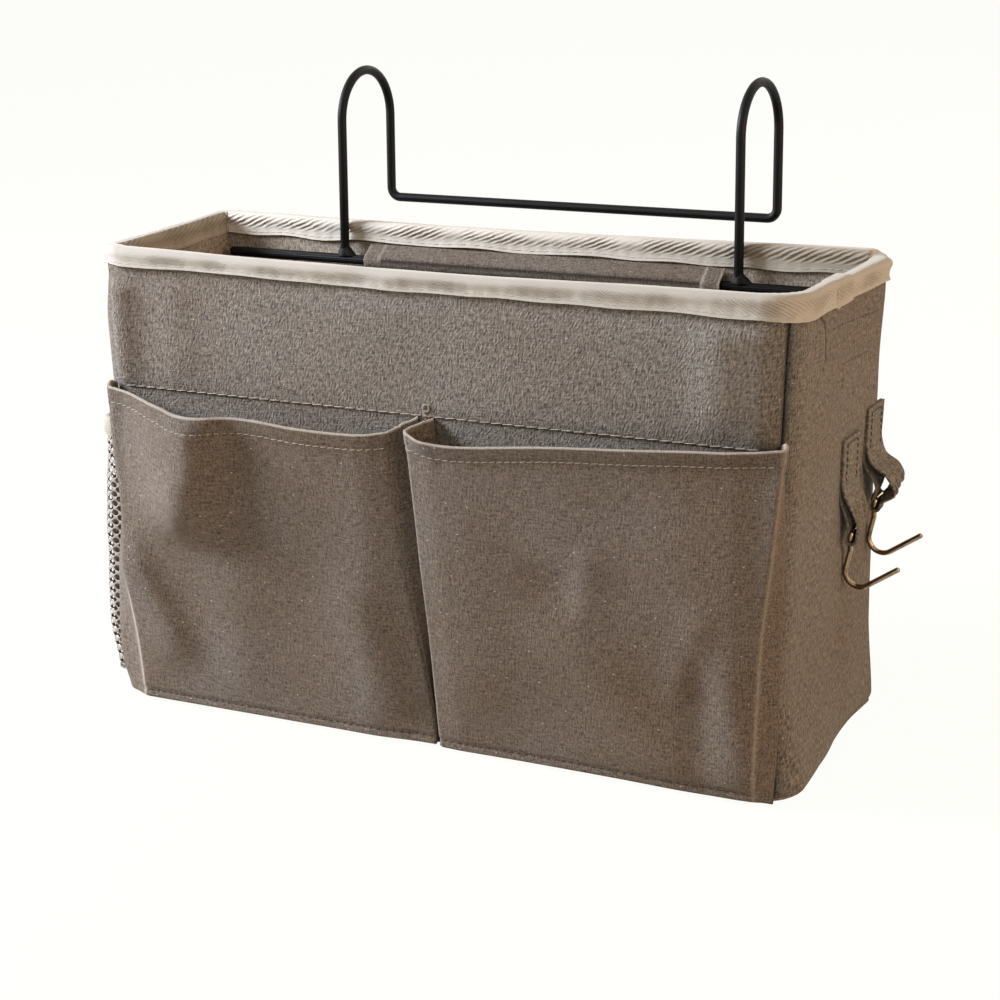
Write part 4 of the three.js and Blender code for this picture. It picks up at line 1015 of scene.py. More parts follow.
def finish(name):
    """A material by its key, made on first use."""
    if name not in FINISHES:
        hues = bpy.context.scene.caddy_colours
        # Canvas takes two colours, the size of its grain, its lean and depth, and the distance of the specks
        makers = {
            "canvas": (cotton_canvas, "cotton_canvas", hues.canvas, hues.canvas_warm, 0.66, 24, 1.3),
            "pocket": (cotton_canvas, "cotton_canvas_pocket", hues.pocket, hues.pocket_warm, 0.46, -22, 0.7),
            "lining": (cotton_canvas, "cotton_lining", hues.lining, hues.canvas_warm, 0.6, 10, 0.3),
            # Painted shadow: the sheet behind the net is dark canvas
            "painted_shadow_sheet": (cotton_canvas, "painted_shadow_cotton", hues.painted_shadow_sheet, hues.painted_shadow_sheet, 0.8, 10, 0.4, 40.0),
            "tape": (twill_tape, "herringbone_cotton_tape", hues.tape, hues.tape_inner_painted_light, hues.tape_shade),
            "net": (spun_yarn, "polyester_net_yarn", hues.net, linear("#a59d94")),
            "thread": (spun_yarn, "polyester_thread", hues.thread, linear("#93866f")),
            "dark_thread": (spun_yarn, "polyester_thread_brown", hues.dark_thread, linear("#241d18")),
            "tape_thread": (spun_yarn, "polyester_thread_cream", hues.tape, hues.tape),
            "wire": (powder_coat, "powder_coated_steel", hues.black),
            "hook": (plated_wire, "bronze_plated_steel", hues.hook),
            "fastener": (napped_tape, "hook_and_loop_tape", hues.fastener),
            "board": (grey_board, "recycled_grey_board", hues.board),
        }
        make, *values = makers[name]
        FINISHES[name] = make(*values)
    return FINISHES[name]


# Operators


class CaddyOperator:
    """What the caddy's operators share."""

    bl_options = {"REGISTER", "UNDO"}


class CADDY_OT_walls(CaddyOperator, bpy.types.Operator):
    """Sew the outer walls and the base, soft and slightly sagging over their boards"""

    bl_idname = "caddy.walls"
    bl_label = "Walls"

    def execute(self, context):
        canvas = context.scene.caddy_sizes.canvas
        # Rows lie closer at the foot and at the seam behind the pocket mouths
        below, above = REAR_SEAM - 1.2, REAR_SEAM + 2.4
        heights = np.concatenate([
            np.linspace(WALL_FOOT, 9, 10)[:-1], np.linspace(9, below, 64)[:-1], np.linspace(below, above, 9),
            np.linspace(above, CLOTH_TOP, 30)[1:]])
        height = pick(heights)
        for wall, (start, end) in WALLS.items():
            stations, _ = even_stations(start + WALL_TRIM, end - WALL_TRIM)
            sheet = cloth_grid(f"{wall}_wall_cloth", WALL_COLUMNS[wall], len(heights) - 1,
                               lambda u, v: wall_face(wall, stations(u), height(v)),
                               lambda u, v: wall_painted_shade(wall, stations(u), height(v)))
            sew(sheet, canvas * 0.95, "canvas", [f"{wall}_panel"])
        sheet = cloth_grid("base_cloth", 120, 60, base_face)
        sew(sheet, canvas * 0.9, "canvas", ["bottom_panel"])
        for wall in (*WALLS, "base"):
            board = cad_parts[f"{wall}_board"]
            board.data.materials.clear()
            board.data.materials.append(finish("board"))
        return {"FINISHED"}


class CADDY_OT_lining(CaddyOperator, bpy.types.Operator):
    """Sew the lining of the four walls and the floor"""

    bl_idname = "caddy.lining"
    bl_label = "Lining"

    def execute(self, context):
        thickness = context.scene.caddy_sizes.lining
        for wall, (start, end) in WALLS.items():
            stations, _ = even_stations(end - LINING_TRIM, start + LINING_TRIM)
            columns = 120 if wall in ("front", "back") else 50
            sheet = cloth_grid(f"{wall}_lining_cloth", columns, 70,
                               lambda u, v: lining_face(wall, stations, u, v))
            sew(sheet, thickness, "lining", [f"{wall}_lining"])
        sheet = cloth_grid("floor_lining_cloth", 100, 44, floor_lining_face)
        sew(sheet, thickness, "lining", ["bottom_lining"])
        return {"FINISHED"}


# Rim tape, by station from its start on the right wall: depth of the outer leaf, rise of the rolled edge, and
# how dark the painted shade on the inner leaf is
RIM_LEAF = [(2.28, 10.6), (2.6, 9.9), (3.2, 10.8), (3.78, 11.3), (4.28, 10), (5.28, 9.5), (6.78, 9.2),
            (7.3, 7), (7.6, 5.4), (8.05, 6.0), (8.2, 6.0), (8.35, 6.9), (8.6, 7.2), (9, 7.6), (9.5, 9),
            (10.1, 9.7), (10.5, 9.9)]
RIM_RISE = [(2.28, -0.8), (2.6, -1.0), (3.2, -1.3), (3.6, -0.4), (4, 0.8), (4.3, 0), (4.6, -0.5), (5, 0),
            (6.78, 0), (7.3, 1), (7.6, 2.2), (8.05, 2), (8.2, 1.2), (8.35, 0.6), (8.6, 0.4), (8.8, 1.4),
            (9, 1.9), (9.5, 1.8), (10.1, 1), (10.5, 0.4)]
RIM_PAINTED_SHADE = [(2.28, 0.4), (2.6, 0.45), (3.4, 0.5), (3.7, 0.7), (4.1, 0.6), (4.3, 0.2), (4.6, 0.05),
            (5.3, 0.1), (5.6, 0.5), (6.2, 0.75), (6.9, 0.75), (7.4, 0.4), (7.8, 0), (9.4, 0),
            (10.1, 0.35), (10.5, 0.4)]


class CADDY_OT_rim(CaddyOperator, bpy.types.Operator):
    """Bind the rim with tape that starts and ends in a lap on the right wall"""

    bl_idname = "caddy.rim"
    bl_label = "Rim binding"

    def execute(self, context):
        pitch, stitch, thread = sewing()
        stations, length = even_stations(right_station(TAPE_START, BAG_HEIGHT),
                                         8 + right_station(TAPE_END, BAG_HEIGHT))

        def lows(u):
            """Lower edges of the outer and the inner leaf, and rise of the rolled edge."""
            station, travel = stations(u), u * length
            outer = smooth_line(station, RIM_LEAF) + 0.3 * ripple(travel, 0, 26, 21)
            inner = INNER_LEAF + 0.7 * ripple(travel, 0, 40, 22)
            lift = smooth_line(station, RIM_RISE) + 0.3 * ripple(travel, 0, 120, 23)
            return BAG_HEIGHT - outer, BAG_HEIGHT - inner, np.maximum(lift - 0.2, -1.4)

        def surface(u, z, out, v):
            station, travel = stations(u), u * length
            low_out, low_in, lift = lows(u)
            away = np.where(out > -LINING_FACE / 2, 1.0, -1.0)
            above = z - np.where(away > 0, low_out, low_in)
            below = BAG_HEIGHT + lift - z
            roll = 0.6 * bell(below - 2.8, 1.7) + 0.5 * bell(above, 1.1)
            pucker = 0.16 * np.sin(2 * np.pi * travel / 6.5) * bell(np.abs(v - 0.5) - 0.4, 0.1)
            loose = 0.28 * ripple(travel, z * 2, 30, 24)
            turning = np.mod(station, 2) > 1
            wrinkle = 0.35 * turning * np.sin(2 * np.pi * travel / 4.6 + z * 0.5)
            lap = LAP_STEP * step((travel - length + TAPE_LAP) / 3)
            grow = np.maximum(pucker + loose + wrinkle + roll + 0.15, -0.1) + lap
            # The flare leaves the inner leaf on the lining
            outward = np.clip((out - TAPE_INSIDE) / (TAPE_OUTSIDE - TAPE_INSIDE), 0, 1)
            return shell(station, z, out + away * grow + rim_flare(station) * outward)

        def painted_light_and_tone(u, v):
            """Painted shade on the inner leaf as listed, and on the outer leaf on the left wall."""
            inside = step((v - 0.5) / 0.1)
            outer_painted_shade = 0.35 * window(stations(u), 5.4, 7.2, 0.3)
            return -inside * smooth_line(stations(u), RIM_PAINTED_SHADE) - (1 - inside) * outer_painted_shade

        sheet = folded_tape("rim_tape", 440, surface, lows, BAG_HEIGHT, (TAPE_OUTSIDE, TAPE_INSIDE),
                            TAPE_SHOULDER, painted_light_and_tone)
        sew(sheet, context.scene.caddy_sizes.tape, "tape", ["rim_binding"])

        # Stitches a little above the tape's lower edges, outside and inside
        u = np.linspace(0.004, 0.996, 900)
        low_out, low_in, _ = lows(u)
        lines = []
        for low, out, sign, share in ((low_out, TAPE_OUTSIDE, 1, 0.06), (low_in, TAPE_INSIDE, -1, 0.94)):
            points = surface(u, low + 1.3, np.full_like(u, out), np.full_like(u, share))
            lines.append((points, sign * plan_normals(points), pitch))
        stitches("rim_stitches", lines, stitch, thread * 0.75, "tape_thread", "binding_tape", lean=3.0)
        return {"FINISHED"}


def make_pocket(side, label):
    """Makes one front pocket with its hem turned in, and returns its stitch lines along hem and foot."""
    sizes = bpy.context.scene.caddy_sizes
    pitch, _, _ = sewing()
    hem = sizes.hem / MM
    # Columns lie closer at the folds
    gusset = np.linspace(0, 1, 15) ** 1.5
    face = 0.5 - 0.5 * np.cos(np.linspace(0, np.pi, 105))
    positions = np.concatenate([1 - gusset[:0:-1], 1 + face, 2 + gusset[1:]])
    place = pick(positions)
    # Rows in four zones: up the outside, up the hem, over the mouth and down inside
    zones = (np.concatenate([np.linspace(0, 0.055, 13)[:-1], np.linspace(0.055, 1, 62)]),
             np.linspace(hem, MOUTH_TURN, 12)[1:], np.linspace(0, np.pi, 8)[1:-1],
             np.linspace(MOUTH_TURN, hem - 1, 7))
    rows = [(zone, share) for zone, shares in enumerate(zones) for share in shares]
    row = pick(rows)

    def mouth(position):
        uneven = 0.25 * ripple(position * POCKET_RUN, 0, 40, 31 + side)
        return smooth_line(position, POCKET_MOUTHS[side]) + uneven

    def at(u, v):
        position = place(u)
        zone, share = row(v).T
        zone = zone.astype(int)
        top = mouth(position)
        z = np.choose(zone, [POCKET_FOOT + (top - hem - POCKET_FOOT) * share, top - share,
                             top - MOUTH_TURN + MOUTH_TURN * np.sin(share), top - share])
        drop = top - z
        hemmed = 0.55 * step((hem + 0.5 - drop) / 1.0) - 0.4 * bell(drop - hem + HEM_STITCH, 0.8)
        hemmed = hemmed + HEM_LEAN[side] * np.clip(1 - drop / hem, 0, 1) * window(position, 1, 2, 0.06)
        pucker = 0.14 * np.sin(position * POCKET_RUN * 2 * np.pi / 7.5) * bell(drop - hem, 4)
        inset = np.choose(zone, [0.0, 0.0, MOUTH_TURN - MOUTH_TURN * np.cos(share), 2 * MOUTH_TURN])
        return pocket_face(side, position, z, 0.45 + hemmed + pucker - inset)

    def painted_light_and_tone(u, v):
        """Painted highlight on the mouth and outer fold, painted shade along the side seam and on the hem."""
        position, height, zone = place(u), at(u, v)[:, 2], row(v)[:, 0]
        outer_fold = 1.5 + side * 0.5
        off_fold = np.where((position - outer_fold) * side < 0, 140, 11) * np.abs(position - outer_fold)
        pale = bell(off_fold, 0.8) * (0.4 if side > 0 else 0.85 * step((62 - height) / 20))
        if side > 0:
            pale = np.maximum(pale, 0.45 * bell(position - 3 + outer_fold, 1 / 110))
        pale = np.maximum(np.where(zone == 2, 0.9, 0.0), pale)
        to_seam = 3 - position if side > 0 else position
        painted_dark = bell(to_seam, 0.1) + np.where(zone == 1, 0.12 if side > 0 else 0.06, 0.0)
        return np.where(pale > 0.05, pale, -np.minimum(painted_dark, 1))

    sheet = cloth_grid(f"pocket_cloth_{label}", len(positions) - 1, len(rows) - 1, at, painted_light_and_tone)
    sew(sheet, sizes.canvas * 0.9, "pocket", [f"front_pocket_{label}"])
    position = np.linspace(1.012, 1.988, 400)
    lines = []
    for z, out in ((mouth(position) - hem + HEM_STITCH, 0.6 + HEM_LEAN[side] * HEM_STITCH / hem),
                   (np.full_like(position, FOOT_STITCH), 0.3)):
        lines.append((pocket_face(side, position, z, np.full_like(position, out)), (0, -1, 0), pitch))
    return lines


class CADDY_OT_front_pockets(CaddyOperator, bpy.types.Operator):
    """Make the two pleated front pockets with turned hems, and their sewing"""

    bl_idname = "caddy.front_pockets"
    bl_label = "Front pockets"

    def execute(self, context):
        _, length, thread = sewing()
        hem_lines, foot_lines = zip(make_pocket(-1, "left"), make_pocket(1, "right"))
        stitches("pocket_hem_stitches", hem_lines, length, thread, "thread")
        stitches("pocket_foot_stitches", foot_lines, length * 0.7, thread * 1.7, "dark_thread")

        # Heavier sewing along the seam behind the pocket mouths
        station = np.linspace(-0.12, 1.12, 500)
        points = wall_face("front", station, np.full_like(station, REAR_SEAM + 1.0), 0.12)
        pitch, *stitch = REAR_SEAM_SEWING
        stitches("rear_seam_stitches", [(points, (0, -1, 0), pitch)], *stitch, "thread", lean=4.0)

        # The thread's end, left as a small ring above the seam
        base = wall_face("front", np.array([0.51]), np.array([REAR_SEAM + 4.2]), 0.35)[0]
        ring = [(-0.5, -3.0), (-1.5, 0), (-0.8, 1.6), (0.9, 1.5), (1.5, 0), (0.6, -1.4), (-0.8, -1.0)]
        end = bent_wire("seam_thread_end", [base + np.array([x, 0, z]) for x, z in ring],
                        [0.6] * (len(ring) - 2), thread * MM * 1.2, sides=8, steps=4)
        take_up(end, "thread")
        return {"FINISHED"}


class CADDY_OT_net_pocket(CaddyOperator, bpy.types.Operator):
    """Knot the net pocket on the left wall, with its floor and bound mouth"""

    bl_idname = "caddy.net_pocket"
    bl_label = "Net pocket"

    def execute(self, context):
        sizes = context.scene.caddy_sizes
        pitch, stitch, thread = sewing()
        cell = sizes.net_cell / MM
        width, height = sum(NET_RUNS), NET_MOUTH - NET_FOOT
        columns, rows = int(width / cell), int(height / cell)
        deselect_all()
        bpy.ops.mesh.primitive_grid_add(x_subdivisions=columns, y_subdivisions=rows, size=1)
        piece = name_new("net")
        # Each square gets a middle point, and the square's own sides go, so that diamonds are left
        crossings = len(piece.data.vertices)
        bpy.ops.object.mode_set(mode="EDIT")
        bpy.ops.mesh.select_all(action="SELECT")
        bpy.ops.mesh.poke()
        bpy.ops.mesh.select_all(action="DESELECT")
        bpy.ops.mesh.select_mode(type="EDGE")
        bpy.ops.object.mode_set(mode="OBJECT")
        for edge in piece.data.edges:
            first, second = (piece.data.vertices[i].co for i in edge.vertices)
            on_border = any(abs(abs(first[k]) - 0.5) < 1e-5 and abs(first[k] - second[k]) < 1e-5
                            for k in (0, 1))
            edge.select = max(edge.vertices) < crossings and not on_border
        bpy.ops.object.mode_set(mode="EDIT")
        bpy.ops.mesh.dissolve_edges(use_verts=False)
        bpy.ops.object.mode_set(mode="OBJECT")
        u, v = (read_points(piece)[:, :2] + 0.5).T
        write_points(piece, net_face(net_position(u), NET_FOOT + height * v))
        apply_modifier(piece, "WIREFRAME", thickness=sizes.net_strand, use_even_offset=False, offset=0.0)
        apply_modifier(piece, "SUBSURF", levels=1, render_levels=1)
        bpy.ops.object.shade_smooth()
        take_up(piece, "net", ["net_pocket_front_side", "net_pocket_face", "net_pocket_rear_side"])

        # Dark brown cloth behind the net: a painted shadow that shows through its holes, where the empty
        # pocket has only shade
        def painted_shadow_sheet(u, v):
            z = NET_FOOT + 1 + (NET_SHADOW_SHEET_TOP - NET_FOOT - 1) * v
            slack = 0.4 * ripple(u * NET_RIPPLE_RUN, z, 40, 44)
            return net_face(net_position(NET_INSET + NET_SHARE * u), z, -2.2 - slack)

        sew(cloth_grid("net_painted_shadow_cloth", 60, 50, painted_shadow_sheet), sizes.lining, "painted_shadow_sheet", ())

        # Floor of the pocket, a narrow strip of canvas
        def floor(u, v):
            z = np.full_like(u, NET_FOOT - 0.9)
            line = net_face(np.clip(net_position(u), 0.02, 2.98), z)
            wall = np.stack([-half_width(z) - 0.5, line[:, 1], z], -1)
            return line + (wall - line) * v[:, None] + np.stack([0 * u, 0 * u, -0.5 * np.sin(np.pi * v)], -1)

        sew(cloth_grid("net_pocket_floor", 50, 8, floor), sizes.canvas * 0.8, "canvas",
            ["net_pocket_bottom"], offset=0.0)

        def lows(u):
            """Lower edges of the outer and the inner leaf; the tape's edge lies level."""
            return (NET_MOUTH - NET_TAPE_LEAF + 0.3 * ripple(u * NET_RIPPLE_RUN, 0, 18, 41),
                    NET_MOUTH - NET_TAPE_LEAF + 0.2 + 0.3 * ripple(u * NET_RIPPLE_RUN, 0, 20, 42), 0 * u)

        def surface(u, z, out, _):
            slack = 0.12 * ripple(u * NET_RIPPLE_RUN, z, 14, 43) * np.sign(out)
            return net_face(NET_INSET + NET_SHARE * net_position(u), z, out + slack)

        sheet = folded_tape("net_tape", 90, surface, lows, NET_MOUTH + 0.9, (NET_TAPE_FACE, -NET_TAPE_FACE),
                            NET_TAPE_SHOULDER, lambda u, v: np.full_like(u, -0.4))
        sew(sheet, sizes.tape * 0.85, "tape", ["net_pocket_binding"])
        u = np.linspace(0.01, 0.99, 200)
        points = surface(u, lows(u)[0] + 1.6, np.full_like(u, NET_TAPE_FACE + 0.03), 0)
        stitches("net_tape_stitches", [(points, plan_normals(points), pitch)], stitch, thread, "tape_thread",
                 "binding_tape")
        return {"FINISHED"}


class CADDY_OT_hanger(CaddyOperator, bpy.types.Operator):
    """Bend the hanger frame from round wire, weld it to the base bar and coat it black"""

    bl_idname = "caddy.hanger"
    bl_label = "Wire hanger"

    def execute(self, context):
        wire = context.scene.caddy_sizes.wire
        place = Matrix.Translation(HANGER_AXIS) @ Matrix.Rotation(HANGER_LEAN, 4, "X")
        left, right = -ARCH_SPACING / 2, ARCH_SPACING / 2
        radius = wire / MM / 2
        half = [(0, radius), (0, ARCH_TOP), (ARCH_GAP, ARCH_TOP), (ARCH_GAP, CROSSBAR_RISE)]
        corners = [(left, *corner) for corner in half] + [(right, *corner) for corner in reversed(half)]
        arch = ARCH_GAP / 2 - 0.01
        bends = [arch, arch, CROSSBAR_CORNER, CROSSBAR_CORNER, arch, arch]
        piece = bent_wire("hanger_frame_wire", [place @ Vector(c) for c in corners], bends, wire, steps=14)
        take_up(piece, "wire", ["hanger_hook_frame"], "hanger")
        ends = [(BAR_SHIFT - BAR_LENGTH / 2, 0, 0), (BAR_SHIFT + BAR_LENGTH / 2, 0, 0)]
        piece = bent_wire("hanger_bar_wire", [place @ Vector(c) for c in ends], [], wire)
        take_up(piece, "wire", ["hanger_base_bar"], "hanger")

        # Weld beads: a cone on the bar round each leg, run out to the right and roughened like run metal
        for name, x in (("left", left), ("right", right)):
            centre = np.array([x, 0, radius + WELD_RISE])
            deselect_all()
            bpy.ops.mesh.primitive_cone_add(vertices=28, radius1=WELD_FOOT_RADIUS * MM,
                                            radius2=WELD_TOP_RADIUS * MM, depth=WELD_HEIGHT * MM,
                                            location=centre * MM)
            bead = name_new(f"hanger_weld_bead_{name}")
            bpy.ops.object.transform_apply(location=True, rotation=True, scale=True)
            bpy.ops.object.mode_set(mode="EDIT")
            bpy.ops.mesh.bevel(offset=0.5 * MM, segments=2, affect="EDGES")
            bpy.ops.object.mode_set(mode="OBJECT")
            points = read_points(bead) / MM
            away = points - centre
            run_out = 1 + 0.9 * step((WELD_HEIGHT / 2 - away[:, 2]) / WELD_HEIGHT)
            away[:, 0] *= np.where(away[:, 0] > 0, run_out, 1)
            away[:, 1] *= 0.8
            lumps = 1 + 0.08 * ripple(points[:, 0] * 4, points[:, 1] * 4 + points[:, 2] * 3, 9, 51)
            points = centre + away * lumps[:, None]
            write_points(bead, np.array([place @ Vector(p) for p in points]))
            apply_modifier(bead, "SUBSURF", levels=1, render_levels=1)
            bpy.ops.object.shade_smooth()
            take_up(bead, "wire", [f"hanger_weld_{name}"], "hanger")
        return {"FINISHED"}


class CADDY_OT_flap(CaddyOperator, bpy.types.Operator):
    """Sew the flap that wraps the base bar, and the fastening tapes behind it"""

    bl_idname = "caddy.flap"
    bl_label = "Flap"

    def execute(self, context):
        sizes = context.scene.caddy_sizes
        pitch, stitch, thread = sewing()
        turn = np.array(Matrix.Rotation(BACK_TILT, 3, "X"))

        def seated(x, off, z):
            """From place across, distance off the lining and height to the bag's own frame."""
            return np.stack([x, -off, z], -1) @ turn.T + np.array(SEAT)

        # Side view: distance off the lining, height
        wrap = sizes.wire / MM / 2 + 1.0
        angles = np.linspace(math.radians(62), math.radians(-68), 13)
        bend = np.stack([BAR_OFF_LINING + wrap * np.cos(angles), wrap * np.sin(angles)], -1)
        hang = np.stack([FLAP_STACK + 0.9 * np.exp(-np.linspace(0.6, 4, 16)),
                         np.linspace(-wrap - 3, FLAP_TOP - FLAP_LENGTH, 16)], -1)
        head = [(FLAP_STAND_OFF, FLAP_TOP), (FLAP_STAND_OFF + 2.2, FLAP_TOP - 1.8)]
        line = np.concatenate([head, bend, hang])
        travel = travelled(line)

        def at(u, v, out=0.4):
            off, z = (np.interp(v * travel[-1], travel, line[:, k]) for k in (0, 1))
            x = (u - 0.5) * FLAP_WIDTH + FLAP_LEFT_TRIM * (1 - u)
            side_hem = 0.35 * step((FLAP_HEM + 1 - to_edge(u) * FLAP_WIDTH) / 1.2)
            foot_hem = 0.3 * step((v * travel[-1] - travel[-1] + FLAP_HEM) / 1.2)
            slack = 0.5 * np.maximum(ripple(x, z, 34, 61), 0) * step((-z) / 8)
            return seated(x, off + side_hem + foot_hem + slack + out, z)

        def painted_light_and_tone(u, v):
            """Painted highlight on both edges of the hems, and a line of painted shade between them below the
            bar's top.
            """
            edge = to_edge(u) * FLAP_WIDTH
            rub_and_highlight = 0.6 * (bell(edge, 0.8) + bell(edge - FLAP_HEM, 0.8))
            seam = bell(v * travel[-1] - 9, 0.7) * (edge > FLAP_HEM)
            return np.where(rub_and_highlight > 0.1, rub_and_highlight, -seam)

        sheet = cloth_grid("bar_flap_cloth", 230, 64, at, painted_light_and_tone)
        sew(sheet, sizes.canvas * 0.8, "pocket", ["hanger_flap"],
            "flap")
        down, across = np.linspace(0.02, 0.98, 120), np.linspace(0.02, 0.98, 300)
        drawn = ((0.045 + 0 * down, down), (0.955 + 0 * down, down), (across, 0.9 + 0 * across))
        lines = [(at(u, v, 0.5), turn @ (0, -1, 0), pitch) for u, v in drawn]
        stitches("flap_stitches", lines, stitch, thread, "thread", body="flap")

        # Loop tape on the lining, hook tape on the flap
        tape_width = FLAP_WIDTH - 2 * FASTENER_MARGIN
        middle = FLAP_TOP - FLAP_LENGTH + FASTENER_MARGIN + FASTENER_HEIGHT / 2

        def strip(u, v, off, seed):
            x, z = (u - 0.5) * tape_width, middle + (v - 0.5) * FASTENER_HEIGHT
            nap = 0.1 * ripple(x, z, 2.5, seed) * step(to_edge(u) * 40) * step(to_edge(v) * 8)
            return seated(x, off + nap, z)

        for name, node, body, off, seed in (("loop_tape", "fastener_loops", "caddy", 1.3, 71),
                                            ("hook_tape", "fastener_hooks", "flap", 2.6, 72)):
            sheet = cloth_grid(name, 170, 18, lambda u, v: strip(u, v, off, seed))
            sew(sheet, FASTENER_THICKNESS * MM, "fastener", [node],
                body)
        return {"FINISHED"}


def make_strap(name, along, top, bow):
    """Makes one strap, doubled through its hook's eye, and the box of stitches on its patch."""
    sizes = bpy.context.scene.caddy_sizes
    turn = np.array(Matrix.Rotation(SIDE_TILT, 3, "Y"))
    mount = np.array([half_width(top), along, top])
    # Side view: down the hidden layer, round the hook, and up the front layer
    angles = np.linspace(math.radians(150), math.radians(370), 15)
    loop = sizes.hook_wire / MM / 2 + STRAP_LOOP_GAP
    eye = (STRAP_STAND_OFF, -STRAP_PATCH - STRAP_DROP)
    bend = loop * np.stack([np.cos(angles), np.sin(angles)], -1) + eye
    back = [(STRAP_HIDDEN_LAYER, drop) for drop in (0, -8, -16)]
    back += [(1.1, -STRAP_PATCH), (2.6 + bow * 0.4, -STRAP_PATCH - 7)]
    front = [(6.6 + bow, -STRAP_PATCH - 9.5), (4.6 + bow * 0.9, -STRAP_PATCH - 4),
             (2.7 + bow * 0.2, -STRAP_PATCH + 1)]
    front += [(STRAP_FRONT_LAYER, drop) for drop in (-16, -8, 0)]
    knots = np.concatenate([back, bend, front])
    travel = travelled(knots)

    def at(u, v):
        off, z = (smooth_line(v * travel[-1], np.stack([travel, knots[:, k]], -1)) for k in (0, 1))
        gather = step((-z - STRAP_PATCH + 2) / 13)
        half = STRAP_HALF_WIDTH - STRAP_GATHER * gather
        pleat = 0.55 * gather * np.cos(6.5 * np.pi * (u - 0.5)) * step(to_edge(u) * 6)
        soft = np.maximum(0.2 * ripple(u * 16, z, 12, 81), -0.1)
        points = np.stack([off + pleat + soft, (0.5 - u) * 2 * half, z - 3.0 * gather * (2 * u - 1)], -1)
        return points @ turn.T + mount

    sew(cloth_grid(f"{name}_strap_cloth", 26, 90, at), sizes.canvas * 0.85, "canvas",
        [f"{name}_hook_strap"], offset=0.0)
    corners = np.array([(2.6, -6, -2), (2.6, 6, -2), (2.6, 6, -19), (2.6, -6, -19), (2.6, -6, -2)])
    share = np.linspace(0, 1, 30)[:, None]
    box = np.concatenate([start + (end - start) * share for start, end in zip(corners, corners[1:])])
    pitch, *stitch = STRAP_SEWING
    lines = [(box @ turn.T + mount, turn @ (1, 0, 0), pitch)]
    stitches(f"{name}_strap_stitches", lines, *stitch, "dark_thread")


class CADDY_OT_straps(CaddyOperator, bpy.types.Operator):
    """Sew the two straps that carry the hooks on the right wall"""

    bl_idname = "caddy.straps"
    bl_label = "Hook straps"

    def execute(self, context):
        for strap in STRAPS:
            make_strap(*strap)
        # Sewing that shows on the right wall, from a patch on its inside
        pitch, *stitch = PATCH_SEWING
        lines = []
        for start, end in (((-13, 178.6), (37, 175.6)), ((1, 161.4), (29, 160.6))):
            y, z = np.linspace(start, end, 160).T
            lines.append((wall_face("right", right_station(y, z), z, 0.02), (1, 0, 0), pitch))
        stitches("right_wall_stitches", lines, *stitch, "dark_thread")
        return {"FINISHED"}


class CADDY_OT_hooks(CaddyOperator, bpy.types.Operator):
    """Bend the two wire hooks with their closed eyes"""

    bl_idname = "caddy.hooks"
    bl_label = "Wire hooks"

    def execute(self, context):
        wire = context.scene.caddy_sizes.hook_wire / MM
        run = HOOK_BEND * math.tan((math.pi / 2 + PRONG_RISE) / 2)
        low = -EYE_HEIGHT - HOOK_SHANK - run
        reach = run + HOOK_PRONG
        corners = [(reach * math.cos(PRONG_RISE), 0, low + reach * math.sin(PRONG_RISE)), (0, 0, low),
                   (0, 0, -EYE_HEIGHT), (0, -EYE_WIDTH / 2, 0), (0, EYE_WIDTH / 2, 0),
                   (0, wire + 0.3, wire - EYE_HEIGHT)]
        for name, along, top, _ in STRAPS:
            mount = Matrix.Translation((half_width(top), along, top)) @ Matrix.Rotation(SIDE_TILT, 4, "Y")
            pivot = mount @ Vector((STRAP_STAND_OFF, 0, -STRAP_PATCH - STRAP_DROP))
            place = Matrix.Translation(pivot) @ Matrix.Rotation(HOOK_LEAN, 4, "Y")
            hook = bent_wire(f"{name}_hook_wire", [place @ Vector(c) for c in corners],
                             [HOOK_BEND, wire, EYE_CORNER, EYE_CORNER], wire * MM, sides=14, steps=12)
            take_up(hook, "hook", [f"{name}_hook"], f"{name}_hook")
        return {"FINISHED"}


# Lamps: name, place in metres, width, power in watts and colour
LAMPS = (
    ("key_left", (-1.16, -0.39, 0.70), 0.45, 42.0, "#ecf3ff"),
    ("front_soft", (-0.4, -1.6, 1.7), 1.4, 6.2, "#fffdfa"),
    ("fill_right", (1.6, -0.25, 0.5), 1.2, 17.5, "#ffdcb8"),
    ("back_soft", (0.4, 1.8, 1.0), 1.3, 10.0, "#fff4e8"),
)
LAMP_AIM = Vector((0, -0.02, 0.1))
# Floor: width in metres, level in millimetres and share of glow; strength of the light from all round
FLOOR_WIDTH, FLOOR_LEVEL, FLOOR_GLOW, AMBIENT = 12, -0.4, 0.97, 0.22
WHITE = linear("#fffffb")

# The camera stands to the right of the front and a little above, turned slightly about its axis
CAMERA_AZIMUTH, CAMERA_ELEVATION = math.radians(28.05), math.radians(16.953)
CAMERA_ROLL = math.radians(-1.943)
CAMERA_TARGET, CAMERA_DISTANCE = Vector((6.542, 0, 89.482)), 1022.26
CAMERA_LENS, CAMERA_SENSOR = 86.4, 36.0


def seen_by_eye(tree):
    """1 for rays from the camera and for those that metal or glass shows, else 0."""
    ray = add_node(tree, "LightPath").outputs
    seen = add_node(tree, "Math", {0: ray["Is Camera Ray"], 1: ray["Is Glossy Ray"]}, operation="MAXIMUM")
    return add_node(tree, "Math", {0: seen, 1: ray["Is Transmission Ray"]}, operation="MAXIMUM")


